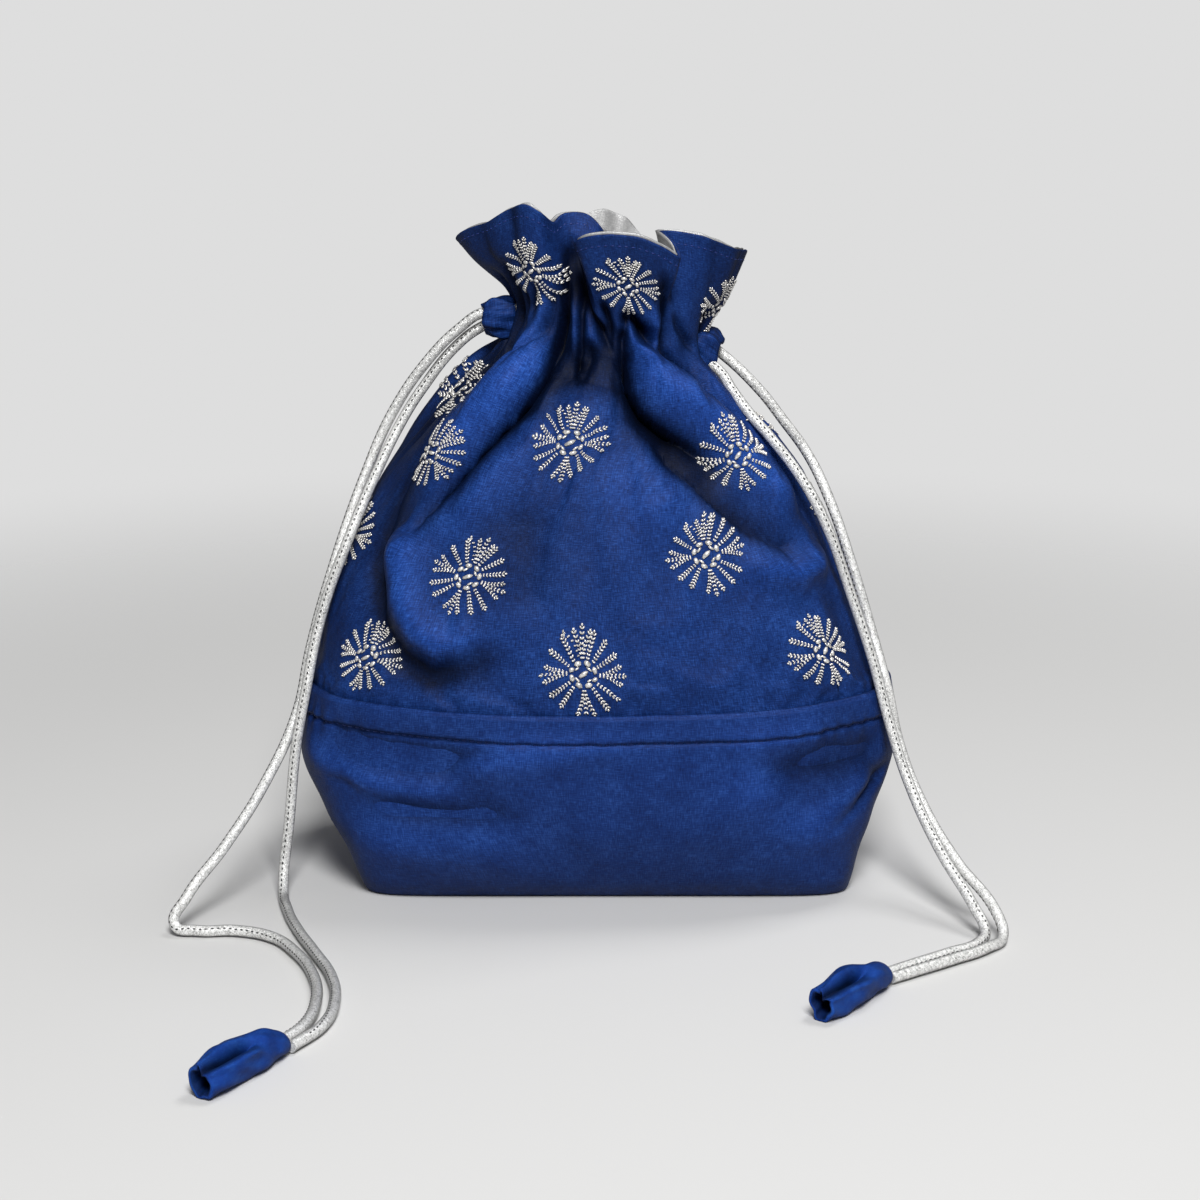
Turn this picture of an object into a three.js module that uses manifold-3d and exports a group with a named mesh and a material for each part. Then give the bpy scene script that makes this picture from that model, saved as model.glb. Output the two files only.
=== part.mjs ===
// Gathered drawstring bag (a potli) of embroidered cloth with a plain lower panel.
// Millimetres, +Z up, front towards -Y, standing on its flat base at Z = 0.
import * as THREE from 'three';
import { mergeVertices } from 'three/addons/utils/BufferGeometryUtils.js';
import Module from 'manifold-3d';

const wasm = await Module();
wasm.setup();

// Driving dimensions
const baseWidth = 159;
const baseDepth = 72;
const bellyWidth = 197.6;
const bellyDepth = 114;
const shoulderWidth = 151;
const shoulderDepth = 95;
const neckWidth = 68;
const neckDepth = 52;
const ruffleWidth = 92;
const ruffleDepth = 66;
const bellyHeight = 46;
const shoulderHeight = 130;
const neckHeight = 184;
const ruffleHeight = 219;
const neckTilt = 11;
const panelHeight = 69;
const panelOverlap = 25;
const panelThickness = 1.2;
const hemWidth = 9.5;
const hemStep = 0.6;
const clothThickness = 1;
const liningThickness = 0.8;
const layerGap = 0.35;
const liningGap = 1;
const pleatCount = 18;
const pleatDepth = 1.3;
const lobeCount = 5;
const lobeDepth = 5;
const lobeTurn = 281;
const cordDiameter = 3.5;
const cordTrackPitch = 8.8;
const cordTrackTop = 187.5;
const cordClearance = 0.5;
const liningSlack = 7.5;
const slotWidth = 13.5;
const slotHeight = 19;
const sprigCount = 10;
const sprigThickness = 0.6;
const sprigStandoff = 0.95;
const podLength = 38;
const podWidth = 14.6;
const podWall = 1.2;
const podNeckWidth = 8.6;
const podHollow = 14;

const cordRadius = cordDiameter / 2;
const columnsPerPleat = 4;
const columns = pleatCount * columnsPerPleat;

function smooth(from, to, value) {
  const share = Math.min(1, Math.max(0, (value - from) / (to - from)));
  return share * share * (3 - 2 * share);
}

// Plan outlines of the cloth from the base to the ruffle's rim.
// Each has its height, its width and depth, how far its middle lies to +X, and how square it is.
const levels = [
  { height: 0, width: baseWidth, depth: baseDepth, shift: 3.2, square: 4 },
  { height: 6, width: baseWidth + 4, depth: baseDepth + 11, shift: 2.8, square: 3.8 },
  { height: 16, width: baseWidth + 11, depth: bellyDepth - 19, shift: 2, square: 3.5 },
  { height: 28, width: bellyWidth - 14.6, depth: bellyDepth - 8, shift: 1, square: 3.1 },
  { height: bellyHeight, width: bellyWidth, depth: bellyDepth, shift: 0, square: 2.7 },
  { height: 68, width: bellyWidth - 5.2, depth: bellyDepth + 2, shift: 0, square: 2.5 },
  { height: 88, width: bellyWidth - 16, depth: bellyDepth, shift: -1.6, square: 2.4 },
  { height: 104, width: shoulderWidth + 21, depth: shoulderDepth + 13, shift: -2, square: 2.3 },
  { height: 118, width: shoulderWidth + 10, depth: shoulderDepth + 7, shift: -2.2, square: 2.2 },
  { height: shoulderHeight, width: shoulderWidth, depth: shoulderDepth, shift: -1, square: 2.1 },
  { height: 141, width: shoulderWidth - 12, depth: shoulderDepth - 8, shift: 1, square: 2 },
  { height: 151, width: shoulderWidth - 26, depth: shoulderDepth - 16, shift: 3.5, square: 2 },
  { height: neckHeight - 23, width: neckWidth + 40, depth: neckDepth + 19, shift: 5, square: 2 },
  { height: neckHeight - 13, width: neckWidth + 20, depth: neckDepth + 11, shift: 5.2, square: 2 },
  { height: neckHeight - 7, width: neckWidth + 9.2, depth: neckDepth + 5, shift: 5, square: 2 },
  { height: neckHeight, width: neckWidth, depth: neckDepth, shift: 3.8, square: 2 },
  { height: neckHeight + 6, width: neckWidth, depth: neckDepth, shift: 3.6, square: 2 },
  { height: neckHeight + 14, width: neckWidth + 6, depth: neckDepth + 4, shift: 3, square: 2 },
  { height: ruffleHeight - 11, width: ruffleWidth - 8, depth: ruffleDepth - 4, shift: 2.4, square: 2 },
  { height: ruffleHeight, width: ruffleWidth, depth: ruffleDepth, shift: 2, square: 2 },
];

function levelValue(name, height) {
  const last = levels.length - 1;
  if (height <= levels[0].height) return levels[0][name];
  if (height >= levels[last].height) return levels[last][name];
  const low = levels.findIndex((level, index) => levels[index + 1].height >= height);
  const slope = (index) => {
    const before = levels[Math.max(0, index - 1)];
    const after = levels[Math.min(last, index + 1)];
    return (after[name] - before[name]) / (after.height - before.height);
  };
  const span = levels[low + 1].height - levels[low].height;
  const share = (height - levels[low].height) / span;
  const squared = share * share;
  const cubed = squared * share;
  return (2 * cubed - 3 * squared + 1) * levels[low][name]
    + (cubed - 2 * squared + share) * span * slope(low)
    + (3 * squared - 2 * cubed) * levels[low + 1][name]
    + (cubed - squared) * span * slope(low + 1);
}

// A point of the smooth outline: turn is in degrees, 0 at +X and 270 at the front.
function outlinePoint(turn, height) {
  const angle = THREE.MathUtils.degToRad(turn);
  const halfWidth = levelValue('width', height) / 2;
  const halfDepth = levelValue('depth', height) / 2;
  const square = levelValue('square', height);
  const across = Math.cos(angle);
  const along = Math.sin(angle);
  const bulge = (Math.abs(across) ** square + Math.abs(along) ** square) ** (-1 / square);
  const x = levelValue('shift', height) + halfWidth * bulge * across;
  const lean = Math.tan(THREE.MathUtils.degToRad(neckTilt)) * smooth(122, neckHeight - 8, height);
  return new THREE.Vector3(x, halfDepth * bulge * along, height - lean * x);
}

function outlineNormal(turn, height) {
  const step = 0.5;
  const along = outlinePoint(turn + step, height).sub(outlinePoint(turn - step, height));
  return new THREE.Vector3(along.y, -along.x, 0).normalize();
}

// Folds that run down from the gathers. Each starts at its top turn under the neck,
// swings to its end turn and fades out at its end height; a negative depth is a valley.
const folds = [
  { top: 219, end: 211, fade: 132, width: 8, depth: 2.2 },
  { top: 244, end: 230, fade: 124, width: 4.5, depth: -6.5 },
  { top: 260, end: 266, fade: 126, width: 9, depth: 3 },
  { top: 273, end: 303, fade: 140, width: 5, depth: -7 },
  { top: 304, end: 334, fade: 118, width: 8, depth: 4 },
  { top: 322, end: 348, fade: 132, width: 4.5, depth: -4 },
  { top: 198, end: 193, fade: 128, width: 5, depth: -4 },
  { top: 28, end: 22, fade: 134, width: 5, depth: -5 },
  { top: 52, end: 50, fade: 128, width: 9, depth: 2.2 },
  { top: 78, end: 70, fade: 128, width: 5, depth: -6 },
  { top: 104, end: 104, fade: 126, width: 9, depth: 3 },
  { top: 130, end: 136, fade: 126, width: 5, depth: -6 },
  { top: 156, end: 160, fade: 130, width: 7, depth: 3 },
  { top: 174, end: 176, fade: 138, width: 4, depth: -4 },
];

// Soft lit bulges where the cloth hangs between two folds.
const bulges = [
  { turn: 224, height: 106, wide: 15, tall: 22, depth: 2.5 },
  { turn: 326, height: 128, wide: 12, tall: 16, depth: 2 },
];

function turnBetween(from, to) {
  return ((to - from + 540) % 360) - 180;
}

function foldDepth(turn, height) {
  const reach = (levelValue('width', height) + levelValue('depth', height)) / 4;
  const toNeck = smooth(neckHeight - 6, neckHeight - 20, height);
  let depth = 0;
  for (const fold of folds) {
    const share = (neckHeight - height) / (neckHeight - fold.fade);
    const centre = fold.top + turnBetween(fold.top, fold.end) * share;
    const distance = THREE.MathUtils.degToRad(turnBetween(centre, turn)) * reach;
    const strength = smooth(fold.fade, fold.fade + 26, height) * toNeck;
    depth += fold.depth * strength * Math.exp(-0.5 * (distance / fold.width) ** 2);
  }
  for (const bulge of bulges) {
    const distance = THREE.MathUtils.degToRad(turnBetween(bulge.turn, turn)) * reach;
    const rise = height - bulge.height;
    depth += bulge.depth * Math.exp(-0.5 * ((distance / bulge.wide) ** 2 + (rise / bulge.tall) ** 2));
  }
  return depth;
}

// The drawn-up pleats at the casing, each a little deeper or shallower than the next.
function pleatReach(height) {
  return pleatDepth * smooth(neckHeight - 26, neckHeight - 6, height)
    * (1 - 0.8 * smooth(neckHeight + 8, ruffleHeight, height));
}

function pleatOffset(turn, height) {
  const uneven = 0.8 + 0.2 * Math.sin(turn * 0.11 + 1.3);
  return pleatReach(height) * uneven * Math.cos(THREE.MathUtils.degToRad(turn * pleatCount));
}

function lobeOffset(turn, height) {
  const flare = smooth(neckHeight + 4, ruffleHeight, height);
  return lobeDepth * flare * Math.cos(THREE.MathUtils.degToRad((turn - lobeTurn) * lobeCount));
}

// A point of the cloth, pushed in by inset from its outer face, with all or some of its folds.
function clothPoint(turn, height, inset, foldShare = 1, pleatShare = foldShare) {
  const offset = foldShare * foldDepth(turn, height) + lobeOffset(turn, height)
    + pleatShare * pleatOffset(turn, height) - inset;
  return outlinePoint(turn, height).addScaledVector(outlineNormal(turn, height), offset);
}

// A shell turned from a profile and then laid on the cloth. Each profile entry has a height
// and an inset, and on a floor the share of the way from the middle to the wall.
function shellOf(profile, sides, place) {
  const turned = new THREE.LatheGeometry(
    profile.map((entry) => new THREE.Vector2((entry.share ?? 1) * baseWidth, entry.height)),
    sides,
  );
  const position = turned.getAttribute('position');
  for (let column = 0; column <= sides; column += 1) {
    profile.forEach((entry, row) => {
      const turn = ((column % sides) * 360) / sides;
      const point = place(turn, entry);
      position.setXYZ(column * profile.length + row, point.x, point.y, point.z);
    });
  }
  turned.computeVertexNormals();
  return turned;
}

function wall(heights, inset) {
  return heights.map((height) => ({ height, inset: typeof inset === 'function' ? inset(height) : inset }));
}

function toSolid(geometry) {
  const bare = geometry.clone();
  bare.deleteAttribute('normal');
  bare.deleteAttribute('uv');
  const merged = mergeVertices(bare, 1e-3);
  return new wasm.Manifold(new wasm.Mesh({
    numProp: 3,
    vertProperties: merged.getAttribute('position').array,
    triVerts: new Uint32Array(merged.getIndex().array),
  }));
}

function toGeometry(solid) {
  const mesh = solid.getMesh();
  const geometry = new THREE.BufferGeometry();
  geometry.setAttribute('position', new THREE.BufferAttribute(mesh.vertProperties, 3));
  geometry.setIndex(new THREE.BufferAttribute(mesh.triVerts, 1));
  geometry.computeVertexNormals();
  return geometry;
}

const materials = {
  embroideredCloth: { color: 0x1a3a98, roughness: 0.55, metalness: 0 },
  panelCloth: { color: 0x1c409f, roughness: 0.55, metalness: 0 },
  liningCloth: { color: 0xc9c9c6, roughness: 0.45, metalness: 0.1 },
  silverCord: { color: 0xb4b4b0, roughness: 0.35, metalness: 0.6 },
  silverThread: { color: 0xd4d0c8, roughness: 0.4, metalness: 0.5 },
};

const bag = new THREE.Group();

function addPiece(name, geometry, finish) {
  const piece = new THREE.Mesh(geometry, new THREE.MeshStandardMaterial(materials[finish]));
  piece.name = name;
  bag.add(piece);
  return piece;
}

// Heights where the cloth and the panel lie on each other.
const lapHeights = [panelHeight - panelOverlap, panelHeight - panelOverlap / 2, panelHeight];

// Embroidered upper cloth: a tube from inside the panel up through the casing to the ruffle's rim,
// with a slot in each side seam where the cord comes out of the casing.
function upperCloth() {
  const heights = [
    ...lapHeights, 88, 105, 119, 131, 142, 153,
    neckHeight - 20, neckHeight - 10, neckHeight - 2, neckHeight + 6,
    neckHeight + 15, ruffleHeight - 10, ruffleHeight,
  ];
  const outer = wall(heights, 0);
  const inner = wall(heights, clothThickness).reverse();
  const profile = [...outer, ...inner, outer[0]];
  const tube = shellOf(profile, columns, (turn, entry) => clothPoint(turn, entry.height, entry.inset));
  let solid = toSolid(tube);
  for (const turn of [0, 180]) {
    const centre = clothPoint(turn, cordTrackTop - cordTrackPitch / 2, clothThickness / 2);
    const slot = new THREE.BoxGeometry(cordDiameter * 4, slotWidth, slotHeight);
    slot.translate(centre.x, centre.y, centre.z);
    solid = solid.subtract(toSolid(slot));
  }
  return toGeometry(solid);
}

// Plain lower panel: boxed flat bottom and flaring sides, its turned top hem lapped over the cloth.
function lowerPanel() {
  const lap = -layerGap;
  const face = -(layerGap + panelThickness);
  const hemBottom = panelHeight - hemWidth;
  const outer = [
    { height: 0, inset: face, share: 0 },
    ...wall([0, 6, 16, 29, bellyHeight, hemBottom], face),
    ...wall([hemBottom + hemStep, panelHeight], face - hemStep),
  ];
  const inner = [
    ...wall([...lapHeights].reverse(), lap),
    ...wall([29, 14, panelThickness], lap),
    { height: panelThickness, inset: lap, share: 0 },
  ];
  return shellOf([...outer, ...inner], columns, (turn, entry) => (
    entry.share === 0
      ? new THREE.Vector3(0, 0, entry.height)
      : clothPoint(turn, entry.height, entry.inset)
  ));
}

const liningFloor = panelThickness + layerGap;

// How far the lining hangs slack of the outer cloth: not at all low down and at the rim,
// and fully where the folds dip in and the cords go round.
function slackShare(height) {
  return smooth(84, 119, height) * (1 - smooth(neckHeight + 8, neckHeight + 15, height));
}

function liningInset(height) {
  return clothThickness + liningGap + liningSlack * slackShare(height);
}

// Shiny pale lining: a loose inner bag that is seen at the ruffle's mouth and edges.
function liningShell() {
  const heights = [
    liningFloor, 14, 29, lapHeights[0], panelHeight, 88, 119, 142,
    neckHeight - 20, neckHeight - 2, neckHeight + 6,
    neckHeight + 15, ruffleHeight - 10, ruffleHeight,
  ];
  const outer = [
    { height: liningFloor, inset: 0, share: 0 },
    ...wall(heights, liningInset),
  ];
  const innerHeights = [...heights].reverse();
  innerHeights[innerHeights.length - 1] = liningFloor + liningThickness;
  const inner = [
    ...wall(innerHeights, (height) => liningInset(height) + liningThickness),
    { height: liningFloor + liningThickness, inset: 0, share: 0 },
  ];
  return shellOf([...outer, ...inner], columns / 2, (turn, entry) => (
    entry.share === 0
      ? new THREE.Vector3(0, 0, entry.height)
      : clothPoint(turn, entry.height, entry.inset, 1 - slackShare(entry.height))
  ));
}

// A cord's centre line: its steps fall on the chosen points, so they are close where it bends.
class CordRoute extends THREE.CatmullRomCurve3 {
  getPointAt(share, target) {
    return this.getPoint(share, target);
  }

  getTangentAt(share, target) {
    return this.getTangent(share, target);
  }
}

// The cord's turn inside the casing: once round the neck, dropping by one pitch as it goes.
const cordInset = clothThickness + pleatDepth + cordClearance + cordRadius;

function casingTurn(from, turns) {
  return turns.map((turn) => {
    const height = cordTrackTop - (cordTrackPitch * turn) / 360;
    const point = clothPoint(from + turn, height, cordInset, 0);
    return [point.x, point.y, point.z];
  });
}

const casingTurns = [32, 52, 76, 102, 128, 152, 180, 208, 232, 258, 284, 308, 328];

function cordTube(points) {
  const route = new CordRoute(points.map((point) => new THREE.Vector3(...point)), false, 'centripetal');
  const section = new THREE.Shape(
    Array.from({ length: 8 }, (unused, side) => {
      const angle = (Math.PI * 2 * side) / 8;
      return new THREE.Vector2(cordRadius * Math.cos(angle), cordRadius * Math.sin(angle));
    }),
  );
  return new THREE.ExtrudeGeometry(section, {
    steps: points.length - 1,
    extrudePath: route,
    bevelEnabled: false,
  });
}

// Each cord runs from its pod along the ground, up the bag's side, round the neck and back.
const leftRoute = [
  [-90.1, -159.6, 2.2], [-84.4, -147, 2.2], [-82.9, -129, 2.2], [-86, -110, 2.2],
  [-93.6, -91.6, 2.2], [-102.6, -79, 2.2], [-114.5, -73.6, 2.2], [-127, -73.6, 2.2],
  [-134.2, -72.2, 3.6], [-131, -68, 11], [-120, -55.5, 24], [-109, -38, 39.5],
  [-99.6, -23.5, 59.5], [-95.3, -17.5, 79.5], [-88.8, -17, 102], [-82.4, -9, 123],
  [-75.8, -1, 143.5], [-63.2, 1, 166.6], [-50.6, 0.5, 182.4], [-41, -0.4, 189.8],
  [-33.4, -1.8, 192.4], [-27, -5.4, 192.6],
  ...casingTurn(180, casingTurns),
  [-27, 5.4, 183.4], [-33.4, 1.8, 184], [-40, 1.4, 182.6], [-52.6, 2, 170.2],
  [-64.4, 0, 154.6], [-75.4, -10.5, 136.4], [-82.6, -22.4, 114.8], [-90.2, -24.6, 93.6],
  [-95.8, -29.5, 68], [-99.2, -31.5, 50], [-101.8, -33.5, 26], [-103.9, -39, 4.4],
  [-100.6, -55, 2.2], [-94.6, -74, 2.2], [-87.4, -92, 2.2], [-80.6, -110, 2.2],
  [-77.4, -129, 2.2], [-79, -147, 2.2], [-86.4, -162, 2.2],
];

const rightRoute = [
  [88.9, -112.2, 2.2], [96.4, -106.8, 2.2], [109.4, -97.4, 2.2], [121.4, -88, 2.2],
  [127.8, -79.4, 2.6], [126.6, -72, 8], [116, -55.4, 19], [106.4, -37, 33.4],
  [99.9, -28, 50], [95.6, -26, 68.6], [90.9, -18.4, 85.6], [84.4, -13.6, 107],
  [77.2, -8.8, 128.6], [69.6, 0.5, 145.4], [58.7, 2, 162], [48.6, 1, 172.4],
  [41.4, 1.8, 177.6], [34.6, 5.4, 180.4],
  ...casingTurn(0, casingTurns),
  [34.6, -5.4, 172.8], [40.6, -2.6, 172], [45.4, -7.4, 168.6], [50.4, -13.4, 161.4],
  [61.2, -19.6, 147], [67, -27.4, 136.6], [75.2, -27, 120], [83.2, -27, 99.4],
  [90, -29.4, 79.6], [96, -34, 58], [101.8, -39, 40.5], [110.5, -54, 22.5],
  [119.8, -70, 9], [122.6, -76.6, 3.6], [119.6, -83.6, 2.2], [108.6, -92.6, 2.2],
  [96.4, -101.6, 2.2], [86, -109.8, 2.2],
];

// Folded cloth pod on the cord's ends: round at its neck, swelling, then a squarish open mouth.
function podShell(neckEnd, heading) {
  const podColumns = 16;
  const stations = [
    { along: 0, width: podNeckWidth, tall: podNeckWidth, square: 2 },
    { along: 5, width: podNeckWidth + 1, tall: podNeckWidth + 1.4, square: 2.1 },
    { along: podLength * 0.4, width: podWidth, tall: podWidth - 1.4, square: 2.5 },
    { along: podLength * 0.68, width: podWidth + 0.4, tall: podWidth - 1, square: 3 },
    { along: podLength, width: podWidth - 2.2, tall: podWidth - 3.4, square: 4 },
  ];
  const inner = stations.slice(3).reverse().map((station) => ({
    ...station,
    width: station.width - 2 * podWall,
    tall: station.tall - 2 * podWall,
    lift: podWall,
  }));
  inner[1].along = podLength - podHollow;
  const centre = { width: 0, tall: 0, square: 2 };
  const profile = [
    { ...centre, along: 0, lift: podNeckWidth / 2 },
    ...stations,
    ...inner,
    { ...centre, along: podLength - podHollow, lift: inner[1].tall / 2 + podWall },
  ];
  const geometry = new THREE.LatheGeometry(
    profile.map((station) => new THREE.Vector2(station.width / 2, station.along)),
    podColumns,
  );
  const position = geometry.getAttribute('position');
  for (let column = 0; column <= podColumns; column += 1) {
    const angle = (Math.PI * 2 * (column % podColumns)) / podColumns;
    profile.forEach((station, row) => {
      const across = Math.cos(angle);
      const up = Math.sin(angle);
      const square = station.square;
      const bulge = (Math.abs(across) ** square + Math.abs(up) ** square) ** (-1 / square);
      const lift = (station.lift ?? 0) + station.tall / 2;
      position.setXYZ(
        column * profile.length + row,
        station.along,
        (station.width / 2) * bulge * across,
        lift + (station.tall / 2) * bulge * up,
      );
    });
  }
  geometry.rotateZ(THREE.MathUtils.degToRad(heading));
  geometry.translate(neckEnd[0], neckEnd[1], 0.2);
  geometry.computeVertexNormals();
  return geometry;
}

// One embroidered sprig wheel: a thin star of thread that lies on the cloth.
function sprigWheel(turn, height, radius) {
  const step = 0.25;
  const across = clothPoint(turn + step, height, 0).distanceTo(clothPoint(turn - step, height, 0));
  const up = clothPoint(turn, height + step, 0).distanceTo(clothPoint(turn, height - step, 0));
  const degreesPerMm = (2 * step) / across;
  const heightPerMm = (2 * step) / up;
  const points = sprigCount * 2;
  const star = new THREE.LatheGeometry(
    [new THREE.Vector2(0, 0), new THREE.Vector2(1, 0), new THREE.Vector2(1, 1), new THREE.Vector2(0, 1)],
    points,
  );
  const position = star.getAttribute('position');
  for (let column = 0; column <= points; column += 1) {
    const angle = (Math.PI * 2 * (column % points)) / points;
    const reach = column % 2 === 0 ? radius : radius * 0.42;
    for (let row = 0; row < 4; row += 1) {
      const out = row === 0 || row === 3 ? 0 : reach;
      const spotTurn = turn + out * Math.cos(angle) * degreesPerMm;
      const spotHeight = height + out * Math.sin(angle) * heightPerMm;
      const standoff = row < 2 ? sprigStandoff : sprigStandoff + sprigThickness;
      const spot = clothPoint(spotTurn, spotHeight, -standoff - pleatReach(spotHeight), 1, 0);
      position.setXYZ(column * 4 + row, spot.x, spot.y, spot.z);
    }
  }
  star.computeVertexNormals();
  return star;
}

// Where the sprig wheels are sewn: staggered rows round the cloth, as turn, height and radius.
const sprigRows = {
  low: [
    [224, 84, 13], [268, 83, 13], [318, 85.5, 12.5], [2, 86, 10],
    [46, 85, 13], [90, 84, 13], [134, 85, 13], [178, 86, 10],
  ],
  middle: [
    [244, 112.5, 12.5], [295, 118.5, 13], [22, 118, 12], [67, 118, 13], [113, 116, 13], [158, 118, 12],
  ],
  high: [
    [215, 142.5, 10.5], [258, 153, 12], [308, 153, 12], [37, 147.5, 10.5], [90, 152, 12], [143, 150, 11],
  ],
  ruffle: [[234, 202, 9.5], [279, 205, 10], [60, 204, 10], [132, 204, 10]],
};

addPiece('upper_body', upperCloth(), 'embroideredCloth');
addPiece('lower_panel', lowerPanel(), 'panelCloth');
addPiece('lining', liningShell(), 'liningCloth');
addPiece('drawstring_left', cordTube(leftRoute), 'silverCord');
addPiece('drawstring_right', cordTube(rightRoute), 'silverCord');
addPiece('cord_end_left', podShell([-88.4, -161.2], -122), 'panelCloth');
addPiece('cord_end_right', podShell([87, -111.7], -128), 'panelCloth');
for (const [row, wheels] of Object.entries(sprigRows)) {
  wheels.forEach(([turn, height, radius], index) => {
    addPiece(`sprig_${row}_${index + 1}`, sprigWheel(turn, height, radius), 'silverThread');
  });
}

export default bag;
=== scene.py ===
# %% [markdown]
# Potli bag: a small Indian drawstring pouch of blue silk. The upper cloth carries embroidered
# flower wheels in silver thread, a plain lower panel is lapped over it, and a silver lining shows
# at the ruffle. Two silver cords gather the neck, and each ends in a folded cloth pod.
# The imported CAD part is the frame. This script dresses it, in metres, with +Z up. Shapes are
# worked out in millimetres and turned into metres where a mesh or a curve is filled in.

import math

import bmesh
import bpy
import numpy as np
from mathutils import Matrix, Vector
from mathutils.geometry import interpolate_bezier


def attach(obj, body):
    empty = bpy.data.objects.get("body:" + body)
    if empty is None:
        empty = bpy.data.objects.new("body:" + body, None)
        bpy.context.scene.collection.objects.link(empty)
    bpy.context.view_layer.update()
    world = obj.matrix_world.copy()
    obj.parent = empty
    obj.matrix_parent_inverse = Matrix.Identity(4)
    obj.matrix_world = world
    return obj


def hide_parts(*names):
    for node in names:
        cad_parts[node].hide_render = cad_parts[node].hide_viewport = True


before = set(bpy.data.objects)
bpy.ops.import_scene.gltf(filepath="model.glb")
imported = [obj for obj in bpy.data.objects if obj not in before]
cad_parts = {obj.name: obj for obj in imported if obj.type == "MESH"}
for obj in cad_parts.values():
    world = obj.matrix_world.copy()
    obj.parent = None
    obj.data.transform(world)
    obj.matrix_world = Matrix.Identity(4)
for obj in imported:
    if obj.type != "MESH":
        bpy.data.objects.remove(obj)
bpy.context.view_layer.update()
MM = 0.001

# %% [markdown]
# The camera stands in front of the bag and looks a little down, as the photograph does. It could
# be placed by eye. Here its place and lens come from lining up the bag's corners, its rim and its
# cords with the picture.

# %% Camera
CAMERA_PLACE, CAMERA_TILT = (0.0009, -0.8, 0.29), math.radians(76.1)
LENS_LENGTH, SENSOR_WIDTH = 73.2, 36

camera_data = bpy.data.cameras.new("camera")
camera_data.lens = LENS_LENGTH
camera_data.sensor_width = SENSOR_WIDTH
camera = bpy.data.objects.new("camera", camera_data)
camera.location = CAMERA_PLACE
camera.rotation_euler = (CAMERA_TILT, 0, 0)
bpy.context.scene.collection.objects.link(camera)
bpy.context.scene.camera = camera
bpy.context.scene.view_settings.view_transform = "Standard"
print("camera", CAMERA_PLACE, "lens", LENS_LENGTH)

# %% [markdown]
# Each drawstring goes round the neck inside the casing, and both its ends come out at one side,
# hang down beside the bag and lie on the table. A cord could be simulated, but its loops would
# then land anywhere. So the four free strands are drawn after the photograph, from the
# casing to the pod, in millimetres, and a curve with a round bevel gives them their thickness.

# %% Cord routes
CORD_DIAMETER = 0.0035
STRANDS = {
    "left_outer": [
        (-31.4, -1.0, 189.0), (-37, -1, 189.4), (-45.6, 0, 183.8), (-55.1, 0, 174.4),
        (-67.4, 0, 156.9), (-76.4, -4, 137.4), (-88.8, -17, 102), (-95.3, -17.5, 79.5),
        (-99.6, -23.5, 59.5), (-109, -38, 39.5), (-120, -55.5, 24), (-131, -68, 11),
        (-134.2, -72.2, 3.6), (-127, -73.6, 2.2), (-114.5, -73.6, 2.2), (-102.6, -79, 2.2),
        (-93.6, -91.6, 2.2), (-86, -110, 2.2), (-82.9, -129, 2.2), (-84.4, -147, 2.2),
        (-90.1, -159.6, 2.2),
    ],
    "left_inner": [
        (-32.6, 1.4, 186.4), (-37.5, 1.8, 184.6), (-45.8, 2.6, 178.6), (-58.5, 2.5, 163),
        (-64.4, 0.4, 153.9), (-72.4, -9, 138.4), (-81.6, -22, 117), (-90.2, -24.6, 93.6),
        (-95.8, -29.5, 68),
        (-99.2, -31.5, 50), (-101.8, -33.5, 26), (-103.9, -39, 4.4), (-100.6, -55, 2.2),
        (-94.6, -74, 2.2), (-87.4, -92, 2.2), (-80.6, -110, 2.2), (-77.4, -129, 2.2),
        (-79, -147, 2.2), (-86.4, -162, 2.2),
    ],
    "right_outer": [
        (34, 3, 180), (40.6, 3.6, 175.6), (53.9, 2, 163.2), (61.8, 2, 153.2),
        (69.9, 1, 142.2), (76.3, -6, 129.6), (84.4, -13.6, 107), (90.9, -18.4, 85.6),
        (95.6, -26, 68.6), (99.9, -28, 50), (106.4, -37, 33.4), (116, -55.4, 19),
        (126.6, -72, 8), (127.8, -79.4, 2.6), (121.4, -88, 2.2), (109.4, -97.4, 2.2),
        (96.4, -106.8, 2.2), (88.9, -112.2, 2.2),
    ],
    "right_inner": [
        (34, -3, 175), (40, -7.5, 171), (44.2, -13, 165.2), (50.4, -17.5, 157.4),
        (55.8, -20, 151.6), (66, -24, 138.6), (73.6, -27, 125), (83.2, -27, 99.4),
        (90, -29.4, 79.6), (96, -34, 58), (101.8, -39, 40.5), (110.5, -54, 22.5),
        (119.8, -70, 9), (122.6, -76.6, 3.6), (119.6, -83.6, 2.2), (108.6, -92.6, 2.2),
        (96.4, -101.6, 2.2), (86, -109.8, 2.2),
    ],
}


def cord_object(name, points):
    """A round cord with one open spline through points, in metres."""
    curve = bpy.data.curves.new(name, "CURVE")
    curve.dimensions = "3D"
    curve.bevel_depth = 1.0  # each knot's own radius sets the thickness
    curve.bevel_resolution = 5
    curve.resolution_u = 10
    curve.use_fill_caps = True
    spline = curve.splines.new("BEZIER")
    spline.bezier_points.add(len(points) - 1)
    for knot, point in zip(spline.bezier_points, points):
        knot.co = point
        knot.radius = CORD_DIAMETER / 2
        knot.handle_left_type = knot.handle_right_type = "AUTO"
    cord = bpy.data.objects.new(name, curve)
    bpy.context.scene.collection.objects.link(cord)
    return cord


def centreline(cord, steps=10):
    """Points along a cord's middle, close together."""
    bpy.context.view_layer.update()
    knots = cord.data.splines[0].bezier_points
    line = []
    for a, b in zip(knots, knots[1:]):
        line += interpolate_bezier(a.co, a.handle_right, b.handle_left, b.co, steps + 1)[:-1]
    return np.array(line + [knots[-1].co])


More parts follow.
